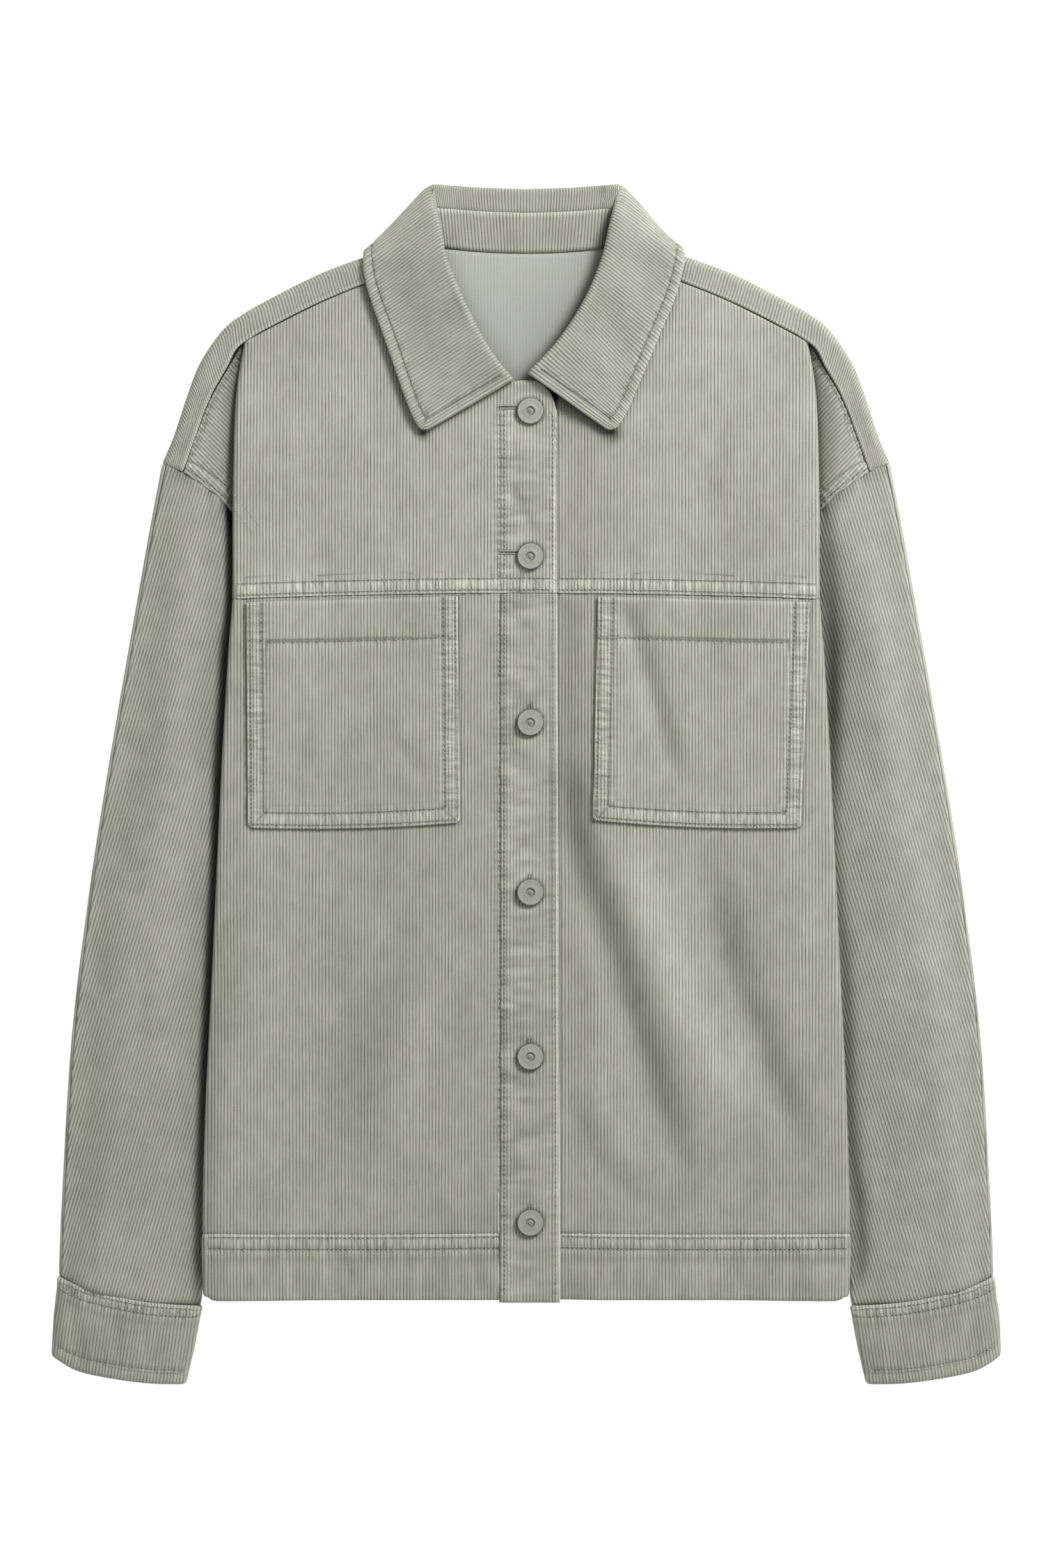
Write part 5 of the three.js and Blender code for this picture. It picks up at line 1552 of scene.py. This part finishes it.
def collar_rings(side, at):
    """Everything that shapes the collar at places along it, from 0 at the back to 12 at its point."""
    table = COLLAR[side]
    read = {key: lookup(COLLAR_RING, values, at) for key, values in table.items()}
    for key in ("edge_d", "edge_y"):
        beside = [lookup(COLLAR_RING, table[key], np.clip(at + step, 0, 12)) for step in (-0.45, 0.45)]
        softer = mix(read[key], (beside[0] + beside[1]) / 2, 0.6)
        read[key] = mix(read[key], softer, smooth(0.5, 1.5, at) * (1 - smooth(9, 11, at)))
    turn = {
        key: lookup(COLLAR_TURN["ring"], values, np.minimum(at, 6))
        for key, values in COLLAR_TURN.items()
    }
    front = smooth(5, 7, at)
    roll = np.stack([side * read["roll_d"], read["roll_y"], 0 * at], -1)
    edge = np.stack([side * read["edge_d"], read["edge_y"], 0 * at], -1)
    fall = unit(edge - roll)
    roll[:, 2] = mix(turn["roll_z"], front_height(roll[:, 0], roll[:, 1]) + 3.2, front)
    edge[:, 2] = mix(turn["edge_z"], front_height(edge[:, 0], edge[:, 1]) + LEAF_OVER_FRONT, front)
    lean = np.radians(mix(turn["lean"], -90, front))[:, None]
    inward = np.stack([side * fall[:, 1], -side * fall[:, 0], 0 * at], -1)
    inner = inward * np.cos(lean) + np.array([0, 0, 1]) * np.sin(lean)
    neck = np.stack([side * turn["neck_d"], turn["neck_y"], 0 * at], -1)
    neck[:, 2] = mix(back_height(0.0, neck[:, 1]), 7.5, smooth(2.6, 4.6, at))
    line = line_of(NECKLINE[side], NECKLINE[side]["under_collar"])(1 - (at - 6) / 6)
    meet = np.stack([side * line[:, 0], line[:, 1], 0 * at], -1) - NECK_INSET * fall
    meet[:, 2] = front_height(meet[:, 0], meet[:, 1])
    down = (neck - roll) * np.array([1, 1, 0])
    reach = mix(12.5, 1.5, smooth(2.6, 4.4, at))[:, None]
    seam = roll + unit(down) * reach + inner * COLLAR_ROLL
    seam = mix(seam, meet, smooth(5.6, 7.4, at)[:, None])
    return {"roll": roll, "edge": edge, "fall": fall, "inner": inner, "front": front, "neck": neck, "seam": seam}


def leaf_rows(rings):
    angle = math.pi * np.linspace(0, 1, 13)[None, :, None]
    around = rings["roll"][:, None] + COLLAR_ROLL * (
        rings["inner"][:, None] * np.cos(angle) - rings["fall"][:, None] * np.sin(angle)
    )
    seam = rings["seam"][:, None]
    inside = mix(seam, around[:, :1], np.linspace(0, 0.86, 7)[None, :, None])
    t = np.linspace(0.03, 1, 32)[None, :, None]
    outer = mix(around[:, -1:], rings["edge"][:, None], t)
    crown = rings["front"][:, None] * 1.6 * np.sin(math.pi * t[..., 0]) * (1 - t[..., 0])
    outer[..., 2] += crown
    tip = rings["front"][:, None] * smooth(0.55, 1, t[..., 0])
    outer[..., 2] += 2.0 * tip
    return np.concatenate([inside, around, outer], 1)


LEAF_AT = np.concatenate([np.linspace(0, 2.4, 34)[:-1], np.linspace(2.4, 6, 60)[:-1], np.linspace(6, 12, 74)])
LEAF_INSIDE = 20


def leaf_edge_row(side, inset):
    rings = collar_rings(side, np.linspace(4.0, 11.9, 60))
    return (rings["edge"] - rings["fall"] * inset)[:, :2]


def collar_leaf():
    left = leaf_rows(collar_rings(-1, LEAF_AT))[::-1]
    right = leaf_rows(collar_rings(1, LEAF_AT))
    grid = trim(np.concatenate([left[:-1], right]), ["start"], 0.15)
    grid = rounded(rounded(grid, 0, -1, 5.5), -1, -1, 5.5)
    columns = grid.shape[1]
    outer = (np.arange(columns) >= LEAF_INSIDE).astype(float)[None, :]
    middle = grid[:, LEAF_INSIDE + 10]
    along = np.r_[0, np.cumsum(np.linalg.norm(np.diff(middle, axis=0), axis=1))]
    along = (along - along[len(along) // 2])[:, None]
    across = run_along(grid, 1)
    pattern = np.stack([along + 0 * across, across], -1)
    edge = np.linalg.norm(grid - grid[:, -1:], axis=-1)
    ends = np.minimum(
        np.linalg.norm(grid - grid[:1], axis=-1),
        np.linalg.norm(grid - grid[-1:], axis=-1),
    )
    row = np.exp(-(((np.minimum(edge, ends) - 6.4) / 1.5) ** 2)) * outer
    wave = np.sin(2 * math.pi * along / 6.5 + 2.5 * soft_noise(along, 0 * along, 21, 8))
    pucker_shade = np.exp(-(((edge - 5) / 5) ** 2)) * outer * wave
    pucker = pucker_shade
    lumps = soft_noise(along, across, 26, 12) * outer * smooth(0, 14, edge)
    rim = np.exp(-((np.minimum(edge, ends) / 1.8) ** 2)) * outer
    roll_light = np.exp(-(((np.arange(columns) - 17) / 3.2) ** 2))[None, :]
    by_roll = 0.10 * (1 - smooth(20, 40, np.arange(columns)))[None, :]
    # Painted shadow on the leaf's inner part beside the right half's roll
    fold_right = collar_rings(1, np.linspace(2.6, 12, 50))["roll"][:, :2]
    clear = np.maximum(nearest(grid[..., 0], grid[..., 1], fold_right)[0] - 3, 0)
    inside = 0.7 * np.exp(-((clear / 4.5) ** 2)) * (1 - outer) * (1 - smooth(58, 64, np.abs(along)))
    in_from = 6.4 - np.minimum(edge, ends)
    pull = np.where(in_from > 0, 1.0, 1 - smooth(1.5, 3.5, -in_from)) * outer
    # Painted highlights on rim and roll, painted light and shade on puckers and lumps, shade in the row
    looks = {
        "rows": np.stack([1 + in_from / ROW_GAP, along + np.where(ends < edge, across, 0), pull]),
        "relief": -0.6 * row + 0.34 * pucker + 1.0 * lumps + 0.2 * rim,
        "painted_light_and_shade": -0.08 * row + 0.26 * rim + 0.05 * roll_light + 0.08 * pucker_shade + 0.09 * lumps - inside,
        # Darker along the back, and painted shade near the left half's roll
        "tone": 0.975 - 0.05 * (1 - smooth(50, 75, np.abs(along))) - by_roll * smooth(60, 110, -along),
    }
    piece = Sewn()
    piece.wall(grid, pattern, DOUBLE_PLY - 0.2, seen=(40, columns - 8), **looks)
    for side in (-1, 1):
        thread_rows.append(("collar_leaf", leaf_edge_row(side, 6.4)))
    flat = (0.470, 0.076)
    rests = ["front_yoke_left", "front_yoke_right", "back_panel"]
    return piece.finish("collar_leaf", ["collar_leaf"], "corduroy", flat, 0.0300, rests)


def collar_stand():
    at = np.linspace(0, STAND_END, 46)
    t = np.linspace(0, 1, 16)[None, :, None]
    sides = []
    for side in (-1, 1):
        rings = collar_rings(side, at)
        sides.append(mix(rings["neck"][:, None], rings["seam"][:, None], t))
    grid = np.concatenate([sides[0][::-1][:-1], sides[1]])
    grid = trim(trim(grid, ["start", "first", "last"], 1), ["end"], 0.4)
    along = run_along(grid, 0)[:, 8:9]
    along = along - along[len(along) // 2]
    across = run_along(grid, 1)
    hollow = near_edge(grid, "start", 2.2)
    seam = near_edge(grid, "end", 1.8)
    # Painted shadow on the stand beside the right half's roll
    fold_right = collar_rings(1, np.linspace(2.6, 12, 50))["roll"][:, :2]
    clear = np.maximum(nearest(grid[..., 0], grid[..., 1], fold_right)[0] - 3, 0)
    beside_leaf = 0.72 * np.exp(-((clear / 4.5) ** 2))
    # Painted highlights along the seam and a line near it, painted shade at the hollow edge
    looks = {
        "relief": -0.25 * hollow + 0.3 * near_edge(grid, "end", 3),
        "painted_light_and_shade": 0.3 * seam + 0.16 * np.exp(-(((across - 3.0) / 1.2) ** 2)) - 0.1 * hollow,
        "tone": 0.935 + 0.05 * soft_noise(along, across, 13, 7) - beside_leaf,
    }
    piece = Sewn()
    piece.wall(grid, np.stack([along + 0 * across, across], -1), DOUBLE_PLY, seen=(45, 8), **looks)
    flat = (0.126, 0.029)
    return piece.finish("collar_stand", ["collar_stand"], "corduroy", flat, None, ["back_panel"])


BUTTON_PROFILE = {
    "radius": [0, 6.4, 7.9, 8.6, 8.75, 8.65, 8.3, 7.8, 7.2, 5.6, 3.9, 3.3, 2.9, 2.6, 2.5, 1.7, 1.45, 1.3, 0.9, 0],
    "z": [0, 0, 0.5, 1.1, 1.6, 2.0, 2.25, 2.32, 2.25, 2.2, 2.35, 2.5, 2.4, 1.9, 1.5, 1.45, 1.6, 2.0, 2.2, 2.25],
}


def button(number, y):
    """A turned disc with a raised rim, a sunk ring round its middle and a small stud."""
    turns = 56
    radius = np.array(BUTTON_PROFILE["radius"][1:-1], float)
    rise = np.array(BUTTON_PROFILE["z"][1:-1], float)
    angle = np.linspace(0, 2 * math.pi, turns, endpoint=False)[:, None]
    low = float(front_height(np.array(BUTTON_X), np.array(y))) + DOUBLE_PLY / 2 + SEAM_GAP + 0.1
    ring = np.stack([BUTTON_X + radius * np.cos(angle), y + radius * np.sin(angle), low + rise + 0 * angle], -1)
    count = len(radius)
    points = np.concatenate([ring.reshape(-1, 3), [[BUTTON_X, y, low], [BUTTON_X, y, low + 2.25]]])
    k = np.arange(turns)[:, None]
    n = (k + 1) % turns
    j = np.arange(count - 1)[None, :]
    quads = np.stack([k * count + j, n * count + j, n * count + j + 1, k * count + j + 1], -1).reshape(-1, 4)
    ends = [(turns * count, int(b) * count, int(a) * count) for a, b in zip(k.ravel(), n.ravel())]
    last = count - 1
    caps = [(turns * count + 1, int(a) * count + last, int(b) * count + last) for a, b in zip(k.ravel(), n.ravel())]
    mesh = bpy.data.meshes.new(f"button_{number}_turned")
    mesh.from_pydata((points * MM).tolist(), [], quads.tolist() + ends + caps)
    # Painted highlights on the rim's top and round the stud; painted shade at the edge, sunk ring and middle
    bright = 0.35 * np.exp(-(((radius - 7.7) / 0.3) ** 2)) + 0.3 * np.exp(-(((radius - 1.6) / 0.3) ** 2))
    dark = 1.45 * smooth(7.9, 8.5, radius) + 1.25 * np.exp(-(((radius - 2.55) / 0.35) ** 2)) + 0.7 * (radius < 1.1)
    painted_lightness = np.tile(bright - dark, turns)
    attribute = mesh.attributes.new("painted_light_and_shade", "FLOAT", "POINT")
    attribute.data.foreach_set("value", np.r_[painted_lightness, 0, -0.7].astype(np.float32))
    mesh.polygons.foreach_set("use_smooth", np.ones(len(mesh.polygons), bool))
    mesh.materials.append(paint)
    mesh.update()
    piece = bpy.data.objects.new(f"button_{number}_turned", mesh)
    bpy.context.scene.collection.objects.link(piece)
    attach(piece, "root")
    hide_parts(f"button_{number}")
    return piece


def stitch_tree():
    """Stitches one after another along rows of path: a fine bead of thread for each."""
    tree = bpy.data.node_groups.new("stitch_rows", "GeometryNodeTree")
    interface = tree.interface
    interface.new_socket("Rows", in_out="INPUT", socket_type="NodeSocketGeometry")
    for name in ("Pitch", "Stitch Length", "Thread Width"):
        interface.new_socket(name, in_out="INPUT", socket_type="NodeSocketFloat")
    interface.new_socket("Thread", in_out="INPUT", socket_type="NodeSocketMaterial")
    interface.new_socket("Stitches", in_out="OUTPUT", socket_type="NodeSocketGeometry")
    new = tree.nodes.new
    link = tree.links.new
    given = new("NodeGroupInput").outputs
    curve = new("GeometryNodeMeshToCurve")
    link(given["Rows"], curve.inputs["Mesh"])
    spaced = new("GeometryNodeResampleCurve")
    spaced.mode = "LENGTH"
    link(curve.outputs[0], spaced.inputs["Curve"])
    link(given["Pitch"], spaced.inputs["Length"])
    dots = new("GeometryNodeCurveToPoints")
    dots.mode = "EVALUATED"
    link(spaced.outputs[0], dots.inputs["Curve"])
    bead = new("GeometryNodeMeshUVSphere")
    bead.inputs["Segments"].default_value = 6
    bead.inputs["Rings"].default_value = 4
    bead.inputs["Radius"].default_value = 0.5
    size = new("ShaderNodeCombineXYZ")
    link(given["Stitch Length"], size.inputs[0])
    link(given["Thread Width"], size.inputs[1])
    link(given["Thread Width"], size.inputs[2])
    shaped = new("GeometryNodeTransform")
    link(bead.outputs[0], shaped.inputs["Geometry"])
    link(size.outputs[0], shaped.inputs["Scale"])
    turned = new("FunctionNodeAlignRotationToVector")
    turned.axis = "X"
    link(dots.outputs["Tangent"], turned.inputs["Vector"])
    placed = new("GeometryNodeInstanceOnPoints")
    link(dots.outputs["Points"], placed.inputs["Points"])
    link(shaped.outputs[0], placed.inputs["Instance"])
    link(turned.outputs[0], placed.inputs["Rotation"])
    real = new("GeometryNodeRealizeInstances")
    link(placed.outputs[0], real.inputs[0])
    finish = new("GeometryNodeSetMaterial")
    link(real.outputs[0], finish.inputs["Geometry"])
    link(given["Thread"], finish.inputs["Material"])
    link(finish.outputs[0], new("NodeGroupOutput").inputs[0])
    return tree


def laid_on(piece_name, row, lift):
    """A row of points laid on the top of a piece, in metres, or None where it misses the piece."""
    tree = surfaces[piece_name]
    points = []
    for x, y in row:
        hit = tree.ray_cast(Vector((x * MM, y * MM, 0.1)), Vector((0, 0, -1)))[0]
        if hit is not None:
            points.append(hit + Vector((0, 0, lift * MM)))
    return points


def finer(row, step=1.4):
    row = np.array(row, float)
    length = np.r_[0, np.cumsum(np.linalg.norm(np.diff(row, axis=0), axis=1))]
    places = np.linspace(0, length[-1], max(int(length[-1] / step), 2))
    return pair(np.interp(places, length, row[:, 0]), np.interp(places, length, row[:, 1]))


def thread_piece(name, rows, pitch, stitch, width, lift=0.12):
    """Makes rows of stitches into one plain mesh that rides on the jacket."""
    points = []
    edges = []
    for piece_name, row in rows:
        path = laid_on(piece_name, finer(row), lift)
        edges += [(len(points) + i, len(points) + i + 1) for i in range(len(path) - 1)]
        points += path
    mesh = bpy.data.meshes.new(f"{name}_path")
    mesh.from_pydata(points, edges, [])
    path_object = bpy.data.objects.new(f"{name}_path", mesh)
    bpy.context.scene.collection.objects.link(path_object)
    modifier = path_object.modifiers.new("stitches", "NODES")
    modifier.node_group = stitch_rows
    inputs = {
        item.name: item.identifier
        for item in stitch_rows.interface.items_tree
        if item.in_out == "INPUT"
    }
    modifier[inputs["Pitch"]] = pitch * MM
    modifier[inputs["Stitch Length"]] = stitch * MM
    modifier[inputs["Thread Width"]] = width * MM
    modifier[inputs["Thread"]] = thread
    evaluated = path_object.evaluated_get(bpy.context.evaluated_depsgraph_get())
    made = bpy.data.meshes.new_from_object(evaluated)
    bpy.data.objects.remove(path_object)
    made.name = name
    made.polygons.foreach_set("use_smooth", np.ones(len(made.polygons), bool))
    piece = bpy.data.objects.new(name, made)
    bpy.context.scene.collection.objects.link(piece)
    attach(piece, "root")
    return piece


def buttonhole_rows():
    """Closely worked rims of the buttonholes: two across at the top, the rest along the placket."""
    rows = []
    for k, y in enumerate(BUTTON_Y):
        if k < 2:
            x1, x2 = (-17.0, -4.0)
            ends = [(x1, y + 3.4), (x2, y + 3.4)], [(x1, y + 1.6), (x2, y + 1.6)]
        else:
            ends = [(1.8, y + 12), (1.8, y - 10)], [(3.6, y + 12), (3.6, y - 10)]
        host = "front_yoke_left" if k < 2 else "lower_front_left"
        rows += [(host, list(end)) for end in ends]
    return rows


def studio():
    bpy.ops.mesh.primitive_plane_add(size=8.0, location=(0, 0, 0))
    floor = bpy.context.object
    floor.name = "studio_floor"
    floor.data.materials.append(floor_finish())
    lamps = {
        "key_light": {"place": (1.35, 1.45, 1.45), "size": 0.8, "power": 71.0},
        "fill_light": {"place": (-1.5, 0.2, 2.0), "size": 2.2, "power": 9.0},
        "low_light": {"place": (0.4, -1.8, 1.9), "size": 2.0, "power": 8.0},
    }
    for name, lamp in lamps.items():
        data = bpy.data.lights.new(name, "AREA")
        data.shape = "DISK"
        data.size = lamp["size"]
        data.energy = lamp["power"]
        light = bpy.data.objects.new(name, data)
        light.location = lamp["place"]
        aim = Vector((0, 0, 0)) - Vector(lamp["place"])
        light.rotation_euler = aim.to_track_quat("-Z", "Y").to_euler()
        bpy.context.scene.collection.objects.link(light)
    world = bpy.data.worlds.new("studio_air")
    world.use_nodes = True
    air = world.node_tree.nodes["Background"]
    air.inputs["Color"].default_value = (1.0, 1.0, 1.0, 1.0)
    air.inputs["Strength"].default_value = 0.38
    bpy.context.scene.world = world
    bpy.context.scene.view_settings.view_transform = "Standard"


def camera():
    """Straight above the jacket, at the distance where the photograph's scale holds."""
    data = bpy.data.cameras.new("camera")
    data.lens = 85
    data.sensor_width = 36
    data.clip_end = 50
    eye = bpy.data.objects.new("camera", data)
    eye.location = (-2.7 * MM, -0.2 * MM, 2417 * MM)
    bpy.context.scene.collection.objects.link(eye)
    bpy.context.scene.camera = eye


pieces = [back_panel(), band_back()]
for side in (-1, 1):
    pieces += [under_sleeve(side), top_sleeve(side), cuff(side)]
    pieces += [lower_front(side), yoke(side), band_front(side), pocket(side)]
pieces += [collar_stand(), collar_leaf()]
depsgraph = bpy.context.evaluated_depsgraph_get()
surfaces = {piece.name.removesuffix("_cloth"): BVHTree.FromObject(piece, depsgraph) for piece in pieces}
buttons = [button(number, y) for number, y in enumerate(BUTTON_Y, 1)]

stitch_rows = stitch_tree()
thread_piece("topstitching", thread_rows, pitch=3.0, stitch=2.3, width=0.55, lift=0.05)
thread_piece("buttonhole_stitching", buttonhole_rows(), pitch=0.55, stitch=0.5, width=1.4, lift=0.1)

studio()
camera()
